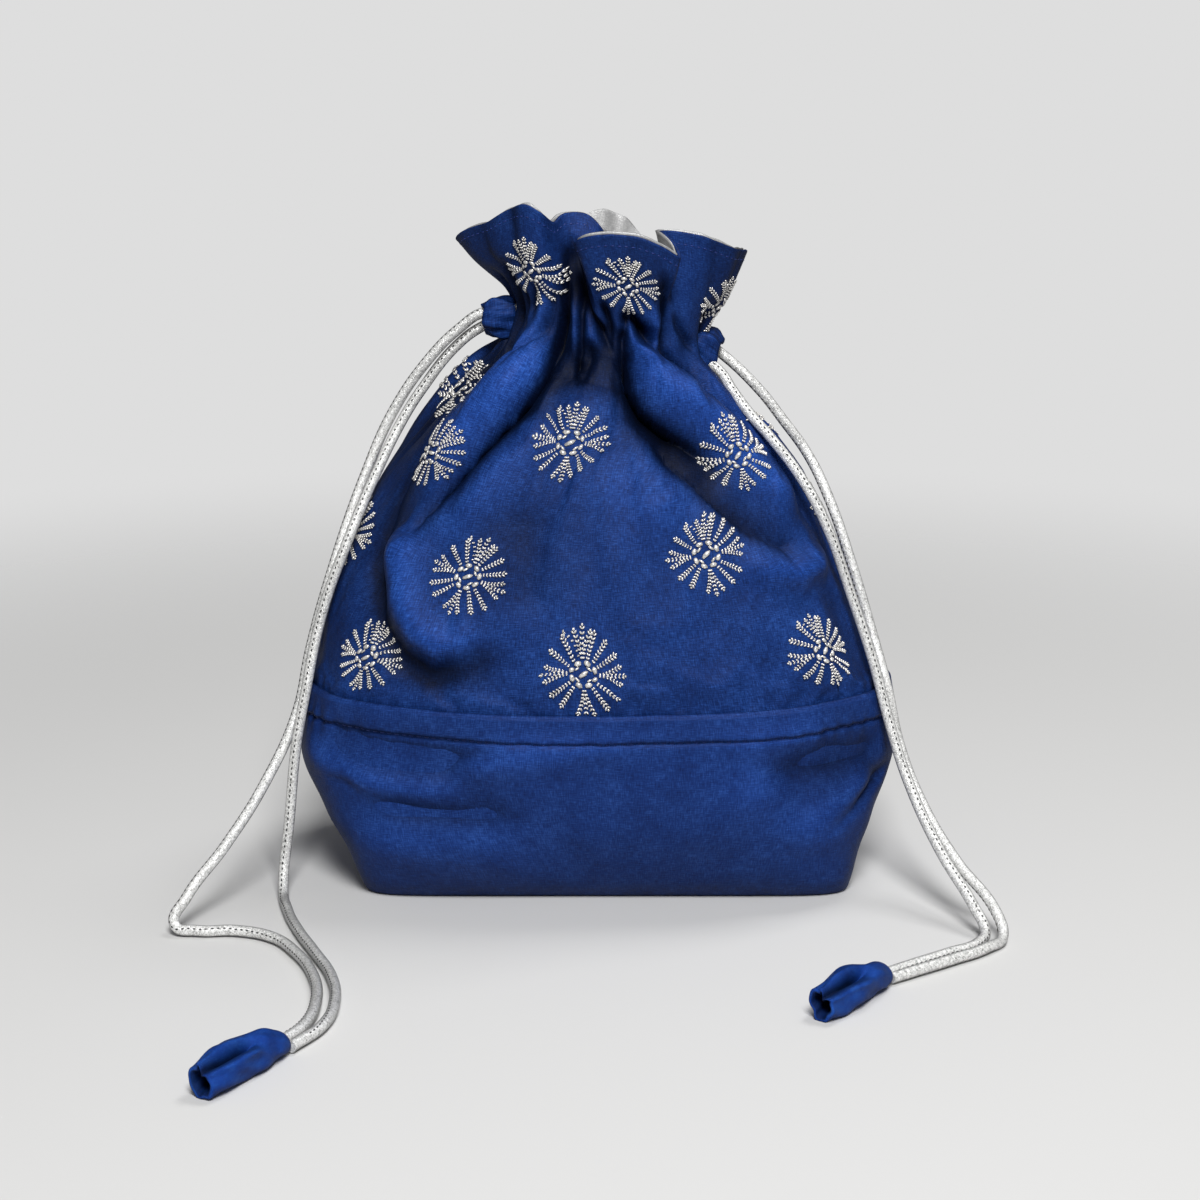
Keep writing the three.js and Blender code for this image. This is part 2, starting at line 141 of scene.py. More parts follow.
def line_length(line):
    return float(np.linalg.norm(np.diff(line, axis=0), axis=1).sum())


cords = {}
for strand, route in STRANDS.items():
    cords[strand] = cord_object("cord_" + strand, [Vector(p) * MM for p in route])
    print("cord", strand, round(line_length(centreline(cords[strand])), 4))

# %% [markdown]
# The body is one gathered tube of cloth. It could be sculpted, but then the lining, the hems and
# the embroidery would each need fitting by hand. Instead a table of levels gives the outline in
# plan at each height: its width, depth, sideways shift and squareness, and the neck leans a
# little. All the cloth pieces and the embroidery are laid on the surface made from it.

# %% Outline of the cloth
PANEL_HEIGHT, NECK_HEIGHT, RIM_HEIGHT = 69.0, 184.0, 219.0
NECK_TILT = math.radians(11)
TILT_LEVELS = (122.0, 176.0)
# between these heights the outward direction changes from level to square to the surface
SHOULDER_LEVELS = (62.0, 100.0)
LEVELS = np.array([
    # height, width, depth, shift, squareness
    (0, 159, 72, 3.2, 12.0), (6, 163, 83, 2.8, 9.0), (16, 170, 95, 2.0, 6.0),
    (28, 183, 106, 1.0, 4.0), (46, 197.6, 114, 0.0, 2.7), (68, 192.4, 116, 0.0, 2.5),
    (88, 181.6, 114, -1.6, 2.4), (104, 172, 108, -2.0, 2.3), (118, 161, 102, -2.2, 2.2),
    (130, 151, 95, -1.0, 2.1), (141, 139, 87, 1.0, 2.0), (151, 125, 79, 3.5, 2.0),
    (161, 108, 71, 5.0, 2.0), (171, 88, 63, 5.2, 2.0), (177, 77.2, 57, 5.0, 2.0),
    (184, 68, 52, 3.8, 2.0), (190, 68, 52, 3.6, 2.0), (198, 74, 56, 3.0, 2.0),
    (208, 84, 62, 2.4, 2.0), (219, 92, 66, 2.0, 2.0),
])
AT = LEVELS[:, 0]
BEFORE = np.maximum(np.arange(len(AT)) - 1, 0)
AFTER = np.minimum(np.arange(len(AT)) + 1, len(AT) - 1)
SLOPES = (LEVELS[AFTER] - LEVELS[BEFORE]) / (AT[AFTER] - AT[BEFORE])[:, None]
WIDTH, DEPTH, SHIFT, SQUARE = 1, 2, 3, 4


def smooth(low, high, value):
    """A soft step from 0 at low to 1 at high."""
    share = np.clip((value - low) / (high - low), 0, 1)
    return share * share * (3 - 2 * share)


def level(column, height):
    """One column of the table at any height, on a smooth curve through its entries."""
    height = np.clip(height, AT[0], AT[-1])
    i = np.clip(np.searchsorted(AT, height, "right") - 1, 0, len(AT) - 2)
    span = AT[i + 1] - AT[i]
    u = (height - AT[i]) / span
    return (
        (2 * u**3 - 3 * u**2 + 1) * LEVELS[i, column]
        + (u**3 - 2 * u**2 + u) * span * SLOPES[i, column]
        + (3 * u**2 - 2 * u**3) * LEVELS[i + 1, column]
        + (u**3 - u**2) * span * SLOPES[i + 1, column]
    )


def outline(turn, height):
    """Plan points of the plain surface, in millimetres. Turn is in degrees from +X."""
    c, s = np.cos(np.radians(turn)), np.sin(np.radians(turn))
    power = level(SQUARE, height)
    k = (np.abs(c) ** power + np.abs(s) ** power) ** (-1 / power)
    x = level(SHIFT, height) + level(WIDTH, height) / 2 * k * c
    return x, level(DEPTH, height) / 2 * k * s


def plain_surface(turn, height):
    """Points of the surface without its folds, in millimetres."""
    x, y = outline(turn, height)
    z = height - math.tan(NECK_TILT) * smooth(*TILT_LEVELS, height) * x
    return np.stack([x, y, z], axis=-1)


def outward(turn, height):
    """Outward direction: level low down, and square to the surface on the sloping shoulder."""
    around = plain_surface(turn + 0.5, height) - plain_surface(turn - 0.5, height)
    up = plain_surface(turn, height + 0.5) - plain_surface(turn, height - 0.5)
    level_way = np.stack([around[..., 1], -around[..., 0], np.zeros(turn.shape)], axis=-1)
    level_way /= np.linalg.norm(level_way, axis=-1, keepdims=True)
    square_way = np.cross(around, up)
    square_way /= np.linalg.norm(square_way, axis=-1, keepdims=True)
    share = smooth(*SHOULDER_LEVELS, height)[..., None]
    way = level_way * (1 - share) + square_way * share
    return way / np.linalg.norm(way, axis=-1, keepdims=True)


def turn_between(start, end):
    """The shorter way round from start to end, in degrees, with its sign."""
    return (end - start + 540) % 360 - 180


for named_height in (PANEL_HEIGHT, NECK_HEIGHT, RIM_HEIGHT):
    size = [round(float(level(column, named_height)), 1) for column in (WIDTH, DEPTH)]
    print("width and depth at", named_height, size)


# %% [markdown]
# Gathering throws the cloth into folds. A simulation alone would put them in other places than
# the real bag has them, so each main fold is a line over the surface, drawn from the photograph
# at the front and made up in the same manner at the back. A crease is a sharp valley, a ridge is
# a soft crest, and an edge is a crest with a valley along its right side. A left crease falls
# away steeply on its left side, and a right crease on its right side.
# A fold's points give turn, height, depth and width.

# %% Folds
FOLDS = [
    # long crease from the casing down to the left, with the crests beside it
    ("left_crease", [(248, 213, 0, 1.6), (247, 203, 3.5, 1.5), (244, 194, 6, 1.6), (241, 185, 8, 1.7),
                     (239, 178, 9.5, 2), (239, 168, 10.5, 2), (238, 160, 10, 2.1),
                     (235, 150, 8, 2.6), (231, 139, 6, 3.6), (226, 127, 4, 5), (222, 117, 0, 8)]),
    ("ridge", [(232, 184, 0, 4), (231, 174, 6, 4.5), (226, 163, 7.5, 5.5), (219, 151, 5.5, 6.5),
               (209, 138, 0, 9)]),
    ("ridge", [(248, 160, 0, 4), (245, 152, 3.0, 4), (241, 144, 3.8, 5), (237, 134, 3.6, 5),
               (231, 124, 3.0, 5), (224, 116, 2, 6), (218, 112, 0, 6)]),
    ("crease", [(206, 182, 0, 3), (206, 171, 4, 4), (205, 158, 4, 5), (206, 144, 3, 6),
                (210, 124, 4, 6), (219, 106, 2.4, 6), (224, 98, 0, 6)]),
    # rounded bulge low on the left, edged below
    ("edge", [(250, 97, 0, 5), (244, 88, 2.8, 5), (238, 85.5, 4.2, 5), (232, 90, 4.4, 5),
              (226, 99, 4.2, 5), (219, 113, 3.4, 5.4), (212, 127, 0, 7)]),
    # centre: a pocket under the casing and a lit panel beside it
    ("crease", [(259, 184, 0, 2), (259, 179, 4, 3), (258, 172, 3.4, 4.5), (258, 163, 0, 8)]),
    ("ridge", [(268, 180, 0, 3), (268, 172, 2.4, 4.5), (269, 160, 2.2, 8), (268, 144, 0, 9)]),
    # gathers under the casing, from left to right
    ("crease", [(228, 199, 0, 1), (226, 193, 3, 1.2), (222, 189, 3, 1.3), (217, 186, 0, 1.6)]),
    ("crease", [(218, 196, 0, 1.5), (215, 190, 3.4, 1.5), (213, 184, 3.8, 1.6), (217, 179, 2.4, 2),
                (222, 176, 0, 2.5)]),
    ("crease", [(241, 198, 0, 1.4), (237, 190, 3, 1.5), (233, 184, 3.6, 1.6), (228, 178, 3, 2),
                (222, 173, 0, 3)]),
    ("ridge", [(236, 195, 0, 1.5), (231, 188, 2.8, 1.8), (226, 181, 3.2, 2.2), (219, 174, 2, 3),
               (212, 166, 0, 5)]),
    ("crease", [(211, 181, 0, 1.2), (214, 176, 1.6, 1.4), (222, 173, 2, 1.6), (231, 175, 1.6, 1.4),
                (237, 178, 0, 1.2)]),
    ("ridge", [(250, 197, 0, 1.2), (250, 190, 3.2, 1.6), (251, 184, 3.8, 1.7), (252, 179, 2.8, 1.6),
               (253, 175, 0, 1.5)]),
    ("crease", [(254, 197, 0, 1), (254, 191, 4.4, 1.1), (254, 184, 6, 1.2), (253, 178, 6.4, 1.5),
                (253, 173, 4, 2.4), (254, 168, 0, 4)]),
    ("ridge", [(258, 195, 0, 1.2), (259, 190, 3, 1.6), (260, 185, 3.2, 1.8), (260, 181, 0, 1.6)]),
    ("right_crease", [(251, 211, 2, 1.2), (252, 203, 4.4, 1.3), (256, 195, 5.6, 1.3),
                      (261, 191, 5.6, 1.3), (266, 187.5, 5, 1.3), (270, 184, 3.4, 1.3),
                      (273, 180, 0, 1.6)]),
    ("crease", [(270, 199, 0, 1), (270, 193, 4, 1.1), (271, 188, 4, 1.2), (272, 182, 0, 1.6)]),
    ("ridge", [(275, 197, 0, 1.5), (275, 189, 2.4, 2), (274, 180, 1.4, 2), (274, 174, 0, 2)]),
    ("crease", [(283, 195, 0, 1), (285, 191.5, 5, 1.2), (289, 188.5, 6.4, 1.4), (293, 186, 4.4, 1.2),
                (295, 184.5, 0, 1)]),
    ("ridge", [(280, 193, 0, 1), (281.5, 188, 3.4, 1.3), (284, 184, 3.2, 1.5), (288, 181, 2, 2),
               (293, 178, 0, 3)]),
    ("ridge", [(296, 199, 0, 1.5), (297, 192, 3.2, 2), (298, 187, 2.4, 2), (299, 182, 0, 2)]),
    ("crease", [(309, 197, 0, 1.5), (314, 191, 3, 1.5), (322, 187, 3, 1.6), (330, 184, 0, 1.6)]),
    ("crease", [(346, 197, 0, 1.2), (339, 191, 3, 1.3), (331, 190, 0, 1.6)]),
    ("ridge", [(272, 154, 0, 6), (279, 144, 2.6, 7), (287, 136, 2.6, 8), (296, 126, 0, 9)]),
    ("crease", [(250, 140, 0, 8), (253, 128, 2, 9), (256, 114, 1.6, 10), (258, 98, 0, 10)]),
    # deep valley right of the middle, running out under the right lobe
    ("right_crease", [(282, 197, 0, 1.2), (280, 190, 5, 1.4), (278.5, 184, 8, 1.6),
                      (277, 178, 10.5, 2), (277, 171, 12.5, 2.5), (281, 164, 13, 3),
                      (288, 160, 12, 3.2), (296, 156, 7, 4), (302, 149, 3, 5), (309, 140, 0, 8)]),
    ("left_crease", [(281, 158, 0, 4), (287, 148, 4, 4), (295, 140, 4, 4.6), (303, 131, 3.6, 5),
                     (310, 123, 3.2, 5), (318, 118, 2.6, 4), (327, 121, 0, 4)]),
    ("ridge", [(303, 119, 0, 5), (311, 112.5, 3.4, 3.2), (319, 110, 4.6, 2.8),
               (328, 112, 4.0, 2.8), (335, 119, 0, 4)]),
    ("ridge", [(281, 188, 0, 3), (286, 180, 6, 3.6), (297, 173, 8.5, 5), (309, 166, 8, 6.5),
               (319, 155, 6.5, 7.5), (325, 141, 5, 7), (330, 126, 0, 6)]),
    ("crease", [(297, 213, 0, 1.6), (299, 203, 4, 1.4), (301.5, 195, 5.4, 1.3), (301.5, 188, 5.6, 1.3),
                (301, 184, 5.2, 1.4), (306, 181, 5.4, 1.6), (313, 178, 5.2, 2), (325, 166, 4.6, 3.2),
                (331, 152, 4, 3.6), (334, 138, 4, 3.6), (337, 120, 0, 5)]),
    ("ridge", [(320, 182, 0, 3), (330, 174, 3.4, 4), (338, 164, 3.4, 5), (341, 146, 2.4, 6),
               (342, 128, 0, 7)]),
    # sides and back
    ("crease", [(192, 184, 0, 2), (191, 171, 5, 3), (189, 152, 4, 5), (187, 126, 0, 8)]),
    ("crease", [(354, 184, 0, 2), (354, 169, 5, 3), (356, 150, 3.6, 5), (358, 126, 0, 8)]),
    ("left_crease", [(28, 186, 1, 2), (26, 170, 8, 2.6), (24, 152, 6, 4), (22, 128, 0, 8)]),
    ("ridge", [(50, 184, 0, 4), (50, 168, 4, 6), (51, 146, 3, 8), (52, 122, 0, 9)]),
    ("crease", [(79, 186, 1, 2), (77, 170, 8, 2.6), (74, 154, 6, 4), (69, 128, 0, 8)]),
    ("ridge", [(104, 184, 0, 5), (104, 166, 4, 7), (103, 146, 3, 9), (103, 120, 0, 9)]),
    ("right_crease", [(129, 186, 1, 2), (131, 170, 8.5, 2.8), (134, 152, 6, 4), (138, 124, 0, 8)]),
    ("ridge", [(154, 184, 0, 4), (156, 168, 4, 6), (158, 150, 3, 7), (160, 128, 0, 8)]),
    ("crease", [(174, 184, 0, 2), (174, 168, 5.5, 3), (175, 152, 4, 5), (176, 132, 0, 8)]),
    ("edge", [(58, 100, 0, 6), (70, 89, 2.2, 5), (84, 87, 2.2, 5), (98, 96, 0, 7)]),
    ("edge", [(116, 102, 0, 6), (128, 93, 2.2, 5), (142, 93, 2.2, 5), (154, 106, 0, 7)]),
    # slack in the lower panel
    ("crease", [(213, 60, 0, 3), (221, 55, 3.0, 3.6), (230, 52, 4.0, 4), (240, 51.5, 3.6, 4),
                (248, 55, 1.8, 4), (254, 58, 0, 4)]),
    ("ridge", [(242, 49, 0, 4), (250, 52, 2.2, 4.5), (260, 56, 2.2, 4.5), (270, 58, 1.4, 4),
               (280, 59, 0, 4)]),
    ("ridge", [(203, 54, 0, 4), (213, 47, 2.4, 4), (226, 43.5, 2.8, 3.6), (238, 42, 2.4, 3.6),
               (247, 45, 0, 4)]),
    ("crease", [(214, 41, 0, 3), (221, 42, 2.0, 2.4), (229, 38, 0, 3)]),
    ("crease", [(224, 37, 0, 4), (234, 35, 2.8, 4), (246, 34, 2.2, 5), (260, 34, 0, 7)]),
    ("ridge", [(218, 24, 0, 5), (230, 21, 2.0, 6), (248, 20, 1.6, 7), (264, 21, 0, 8)]),
    ("crease", [(298, 47, 0, 6), (306, 48, 2.4, 6), (316, 50, 3.6, 6), (326, 50, 2.6, 5),
                (334, 53, 0, 4)]),
    ("ridge", [(288, 58, 0, 4), (299, 59, 1.8, 4), (310, 59.5, 1.8, 4), (320, 58, 0, 4)]),
    ("right_crease", [(340, 44, 0, 2.6), (331, 38.5, 3.2, 2.2), (324, 35, 3.2, 2.2), (317, 30, 2, 3),
                      (308, 22, 0, 5)]),
    ("ridge", [(330, 44, 0, 3), (322, 38.5, 2.2, 3), (312, 29, 2.4, 5), (304, 19, 0, 7)]),
    ("ridge", [(290, 38, 0, 6), (299, 41, 1.6, 6), (308, 40, 0, 6)]),
    ("crease", [(46, 56, 0, 4), (60, 47, 1.6, 5), (78, 44, 0, 8)]),
    ("crease", [(148, 58, 0, 4), (134, 46, 1.6, 5), (118, 42, 0, 8)]),
]

# the gathers at the sides and the back: the turn of each valley at the casing, its depth, and
# the heights where it runs out
PLEATS = [
    (341, 3.0, 162, 204), (356, 2.6, 166, 202), (11, 3.4, 158, 206), (29, 4.4, 160, 212),
    (44, 1.6, 162, 200), (60, 3.8, 160, 208), (76, 2.2, 166, 202), (92, 4.6, 158, 208),
    (107, 2.0, 164, 206), (124, 4.2, 160, 206), (141, 2.0, 162, 200), (158, 4.4, 160, 208),
    (174, 2.4, 164, 208), (189, 3.2, 162, 204), (203, 3.8, 156, 206),
]
# the ruffle's own soft folds: turn at the neck, turn at the rim, depth and width at the rim
RUFFLE_FOLDS = [
    (222, 218, 1.6, 5), (207, 201, 1.8, 4), (29, 27, 2.5, 4.5), (60, 58, 2, 4), (84, 88, 2.5, 4),
    (112, 115, 2.5, 4.5), (173, 171, 2.4, 4.0), (148, 146, 2, 4), (284, 286, 1.4, 5),
    (332, 334, 1.8, 5), (345, 349, 1.6, 5),
]
PLEAT_WIDTH, PLEAT_GAIN, PLEAT_LEAN = 2.1, 1.6, 5


def all_folds():
    """The drawn folds together with the pleats and the ruffle's folds."""
    folds = list(FOLDS)
    for turn, depth, low, high in PLEATS:
        depth *= PLEAT_GAIN
        width = PLEAT_WIDTH * (0.5 + 0.11 * depth)  # a deep valley is a wider one
        lean = PLEAT_LEAN * math.sin(turn * 2.3)
        middle = (low + NECK_HEIGHT) / 2
        folds.append(("crease", [
            (turn + lean, high, 0, 2.8), (turn, NECK_HEIGHT + 8, 0.8 * depth, width),
            (turn, NECK_HEIGHT + 2, depth, width), (turn, NECK_HEIGHT - 6, depth, width),
            (turn + 0.5 * lean, middle - 2, 0.5 * depth, 1.2 * width), (turn + lean, low, 0, 3),
        ]))
    for neck_turn, rim_turn, depth, width in RUFFLE_FOLDS:
        folds.append(("crease", [
            (neck_turn, NECK_HEIGHT, 0, 2), (neck_turn, NECK_HEIGHT + 8, 0.35 * depth, 2),
            (rim_turn, RIM_HEIGHT - 12, 0.8 * depth, 0.8 * width), (rim_turn, RIM_HEIGHT, depth, width),
        ]))
    return folds


STEEP_SIDE, GENTLE_SIDE, CREASE_ROUNDING = 0.55, 1.9, 0.22


def fold_profile(kind, side, width):
    """Height of a fold at a signed distance from its line, from its own width."""
    if kind == "ridge":
        return np.exp(-0.5 * (side / width) ** 2)
    if kind == "edge":
        return side / width * np.exp(0.5 - 0.5 * (side / width) ** 2)
    if kind != "crease":
        steep = side > 0 if kind == "left_crease" else side < 0
        width = np.where(steep, STEEP_SIDE * width, GENTLE_SIDE * width)
    rounding = CREASE_ROUNDING * width
    return -np.exp(-(np.sqrt(side**2 + rounding**2) - rounding) / width)


def one_fold(kind, points, turn, height, reach):
    """How far one fold pushes out each point of the cloth."""
    best = np.full(turn.shape, np.inf)
    value = np.zeros(turn.shape)
    for a, b in zip(points, points[1:]):
        # both ends of this stretch, seen from each point of the cloth
        ax, ay = np.radians(turn_between(turn, a[0])) * reach, a[1] - height
        bx, by = np.radians(turn_between(turn, b[0])) * reach, b[1] - height
        dx, dy = bx - ax, by - ay
        share = np.clip(-(ax * dx + ay * dy) / np.maximum(dx**2 + dy**2, 1e-6), 0, 1)
        away = np.hypot(ax + share * dx, ay + share * dy)
        side = np.sign(dx * ay - dy * ax) * away
        ease = share * share * (3 - 2 * share)
        depth = a[2] + (b[2] - a[2]) * ease
        width = a[3] + (b[3] - a[3]) * share
        value = np.where(away < best, depth * fold_profile(kind, side, width), value)
        best = np.minimum(away, best)
    return value


FOLD_MARGIN = 6  # past this many widths, a fold no longer counts


def fold_offset(turn, height):
    """How far all the folds together push the cloth out, in millimetres."""
    total = np.zeros(turn.shape)
    reach = (level(WIDTH, height) + level(DEPTH, height)) / 4  # mean radius of the outline
    for kind, points in all_folds():
        middle = points[len(points) // 2][0]
        spread = max(abs(turn_between(middle, p[0])) for p in points)
        margin = FOLD_MARGIN * max(p[3] for p in points)
        low = min(p[1] for p in points) - margin
        high = max(p[1] for p in points) + margin
        near = (height > low) & (height < high)
        near &= np.abs(turn_between(middle, turn)) * np.radians(1) * reach < (
            np.radians(spread) * reach + margin)
        if near.any():
            total[near] += one_fold(kind, points, turn[near], height[near], reach[near])
    return total


# slow waves of slack cloth: how many go round, their slope, their start and their strength
SLACK_WAVES = [
    (5, 0.045, 0.4, 1.0), (8, -0.07, 2.0, 0.8), (13, 0.11, 1.1, 0.6), (19, -0.16, 4.0, 0.5),
    (31, 0.09, 5.2, 0.35),
]
SLACK_DEPTH, SLACK_LEVELS = 0.34, (2, 30)


def slack(turn, height):
    """Broad unevenness of hanging cloth, in millimetres. There is none at the stiff base."""
    wave = sum(
        strength * np.sin(count * np.radians(turn) + slope * height + begin)
        for count, slope, begin, strength in SLACK_WAVES
    )
    return SLACK_DEPTH * wave * smooth(*SLACK_LEVELS, height)


RIM = np.array([
    # the ruffle's rim: turn, x, y, z. Its front runs in two loose S folds.
    (0, 50, -1, 209.5), (14, 46, 9, 206.5), (30, 38, 16, 205), (48, 29, 23, 206), (64, 22, 30, 208),
    (78, 14, 34, 212), (90, 7, 34, 218), (100, 1, 35, 219.5), (112, -7, 33, 217), (126, -15, 29, 213),
    (140, -23, 23, 211.5), (155, -32, 15, 211), (170, -42, 7, 211), (182, -47, 0, 213),
    (192, -43.5, -8, 216.5), (204, -37, -15, 219.5), (217, -30, -22, 224), (229, -23.5, -27, 226.5),
    (237, -17.5, -27, 224), (243, -13.5, -20, 220.5), (249, -10, -13, 223), (254, -3, -11, 222.5),
    (258, 1.5, -15, 218), (262, -1.5, -23, 216), (266, -7.5, -30, 215), (272, -4, -36, 217),
    (280, 4.5, -38.5, 218), (288, 13, -38.5, 217), (296, 20.5, -37, 214), (301, 26.5, -34.5, 210.5),
    (304, 25.5, -30, 214), (308, 22, -25.5, 217.4), (311, 20.5, -22.5, 218), (315, 23.5, -20, 217.8),
    (321, 29, -20, 217), (328, 35, -20, 215.6), (336, 41, -18, 213.2), (343, 46, -13, 211),
    (352, 49.5, -7, 209.8),
])
RUFFLE_START, FLARE = 189.0, 1.25
print("folds", len(all_folds()), "rim points", len(RIM))


def rim_curve(turn):
    """Points of the rim, in millimetres, on a smooth closed curve through its entries."""
    at = RIM[:, 0]
    i = np.searchsorted(at, turn % 360, "right") - 1
    count = len(at)
    entries = [RIM[(i + d) % count] for d in (-1, 0, 1, 2)]
    places = [e[..., 0] + 360 * np.floor((i + d) / count) for d, e in zip((-1, 0, 1, 2), entries)]
    span = places[2] - places[1]
    u = ((turn % 360 - places[1]) / span)[..., None]
    slope = [
        (entries[k + 1] - entries[k - 1])[..., 1:] / (places[k + 1] - places[k - 1])[..., None]
        * span[..., None] for k in (1, 2)
    ]
    return (
        (2 * u**3 - 3 * u**2 + 1) * entries[1][..., 1:] + (u**3 - 2 * u**2 + u) * slope[0]
        + (3 * u**2 - 2 * u**3) * entries[2][..., 1:] + (u**3 - u**2) * slope[1]
    )


def cloth_surface(turn, height):
    """Points of the cloth's outer face, in metres."""
    out = fold_offset(turn, height) + slack(turn, height)
    points = plain_surface(turn, height) + outward(turn, height) * out[..., None]
    # the pull towards the rim starts gently at the casing and goes on evenly past the rim
    share = np.clip((height - RUFFLE_START) / (RIM_HEIGHT - RUFFLE_START), 0, 1.2)
    share = np.where(share < 1, share**FLARE, 1 + FLARE * (share - 1))[..., None]
    top = plain_surface(turn, np.full(turn.shape, RIM_HEIGHT))
    return (points + share * (rim_curve(turn) - top)) * MM


# %% [markdown]
# A sewn cloth piece is a tube, open at its ends or closed like a bag. It could be cut from a grid,
# but then its seam would have to be joined. A straight profile spun round the Z axis, as on a
# lathe, gives an even net without a seam. Each corner of the net is then laid on the cloth by its
# turn and its row.

# %% Building cloth pieces


def add_object(name, mesh, replaces=()):
    """A visible piece of the bag and the CAD nodes it stands for."""
    piece = bpy.data.objects.new(name, mesh)
    bpy.context.scene.collection.objects.link(piece)
    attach(piece, "root")
    if replaces:
        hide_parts(*replaces)
    return piece


def coordinates(mesh):
    co = np.empty(len(mesh.vertices) * 3)
    mesh.vertices.foreach_get("co", co)
    return co.reshape(-1, 3)


def set_coordinates(mesh, points):
    mesh.vertices.foreach_set("co", np.ascontiguousarray(points, dtype=np.float64).ravel())
    mesh.update()


turned_places = {}


def turned_shell(name, heights, insets, columns, place, close_ends=False):
    """A tube turned from a profile. place(turn, height, inset) lays each corner on the cloth."""
    shell = bmesh.new()
    profile = [shell.verts.new((1, 0, row)) for row in range(len(heights))]
    for a, b in zip(profile, profile[1:]):
        shell.edges.new((a, b))
    bmesh.ops.spin(
        shell, geom=shell.verts[:] + shell.edges[:], cent=(0, 0, 0), axis=(0, 0, 1),
        angle=math.tau, steps=columns, use_merge=True,
    )
    if close_ends:
        ends = [e for e in shell.edges if e.is_boundary]
        bmesh.ops.holes_fill(shell, edges=ends, sides=0)
    bmesh.ops.recalc_face_normals(shell, faces=shell.faces[:])
    mesh = bpy.data.meshes.new(name)
    shell.to_mesh(mesh)
    shell.free()
    co = coordinates(mesh)
    turn = np.degrees(np.arctan2(co[:, 1], co[:, 0])) % 360
    row = np.clip(np.rint(co[:, 2]).astype(int), 0, len(heights) - 1)
    turned_places[name] = (turn, row)
    set_coordinates(mesh, place(turn, np.asarray(heights)[row], np.asarray(insets)[row]))
    add_cloth_uv(mesh, turn, np.asarray(heights)[row])
    mesh.shade_smooth()
    face_outward(mesh)
    return mesh


def face_outward(mesh):
    """Turns the faces round if they mostly look at the bag's middle."""
    centre, normal = np.empty(len(mesh.polygons) * 3), np.empty(len(mesh.polygons) * 3)
    mesh.polygons.foreach_get("center", centre)
    mesh.polygons.foreach_get("normal", normal)
    centre, normal = centre.reshape(-1, 3), normal.reshape(-1, 3)
    if (centre[:, :2] * normal[:, :2]).sum() < 0:
        mesh.flip_normals()


def add_cloth_uv(mesh, turn, height):
    """A UV map in metres of cloth: across by turn and up by height."""
    corners = np.empty(len(mesh.loops), int)
    mesh.loops.foreach_get("vertex_index", corners)
    start, size = np.empty(len(mesh.polygons), int), np.empty(len(mesh.polygons), int)
    mesh.polygons.foreach_get("loop_start", start)
    mesh.polygons.foreach_get("loop_total", size)
    face_of = np.repeat(np.arange(len(start)), size)
    t = turn[corners]
    top = np.maximum.reduceat(t, start)[face_of]
    t = np.where((top > 300) & (t < 60), t + 360, t)
    uv = np.stack([t / 360 * CLOTH_ROUND, height[corners] * MM], axis=-1)
    layer = mesh.uv_layers.new(name="cloth")
    layer.data.foreach_set("uv", uv.ravel())


CLOTH_ROUND = 0.52  # metres of cloth in one turn of the UV map
UPPER_COLUMNS, PANEL_COLUMNS, LINING_COLUMNS, POD_COLUMNS = 400, 360, 300, 96
print("columns in one turn", UPPER_COLUMNS, PANEL_COLUMNS, LINING_COLUMNS, POD_COLUMNS)

# %% [markdown]
# The cloth's outer face is kept as a net of points and normals over turn and height. A Shrinkwrap
# modifier could press each piece onto the cloth, but it slips in deep folds. Laying every cloth
# piece, stitch and wheel on the same net, a little inside or outside of it, keeps them all true.

# %% Net of the outer cloth
NET_STEP, NET_TOP = 0.75, RIM_HEIGHT + 3
NET_TURNS = np.arange(0, 360, NET_STEP)
NET_HEIGHTS = np.arange(0, NET_TOP + 0.01, NET_STEP)


class Net:
    """The cloth's outer face as a table of points and normals."""

    def __init__(self):
        turn, height = np.meshgrid(NET_TURNS, NET_HEIGHTS)
        self.points = cloth_surface(turn.ravel(), height.ravel()).reshape(turn.shape + (3,))
        self.depth = fold_offset(turn.ravel(), height.ravel()).reshape(turn.shape)
        self.find_normals()

    def find_normals(self):
        around = np.roll(self.points, -1, 1) - np.roll(self.points, 1, 1)
        normal = np.cross(around, np.gradient(self.points, axis=0))
        # low down the outward direction is level, so that nothing sinks below the table
        normal[..., 2] *= smooth(*SHOULDER_LEVELS, NET_HEIGHTS)[:, None]
        self.normals = normal / np.linalg.norm(normal, axis=-1, keepdims=True)

    def depth_at(self, turn, height):
        """How far the folds push the cloth out at turn and height, in millimetres."""
        column = np.rint((turn % 360) / NET_STEP).astype(int) % len(NET_TURNS)
        row = np.clip(np.rint(height / NET_STEP).astype(int), 0, len(NET_HEIGHTS) - 1)
        return self.depth[row, column]

    def at(self, turn, height, rise=0.0):
        """Points at turn and height, raised out of the cloth by rise, in metres."""
        u = (np.asarray(turn, float) % 360) / NET_STEP
        v = np.clip(np.asarray(height, float) / NET_STEP, 0, len(NET_HEIGHTS) - 1.001)
        i, j = np.floor(u).astype(int), np.floor(v).astype(int)
        fu, fv = (u - i)[..., None], (v - j)[..., None]
        columns = len(NET_TURNS)

        def mix(table):
            low = table[j, i % columns] * (1 - fu) + table[j, (i + 1) % columns] * fu
            high = table[j + 1, i % columns] * (1 - fu) + table[j + 1, (i + 1) % columns] * fu
            return low * (1 - fv) + high * fv

        return mix(self.points) + mix(self.normals) * np.asarray(rise)[..., None]


net = Net()
print("net", net.points.shape[:2], "deepest fold in mm", round(float(net.depth.min()), 1))

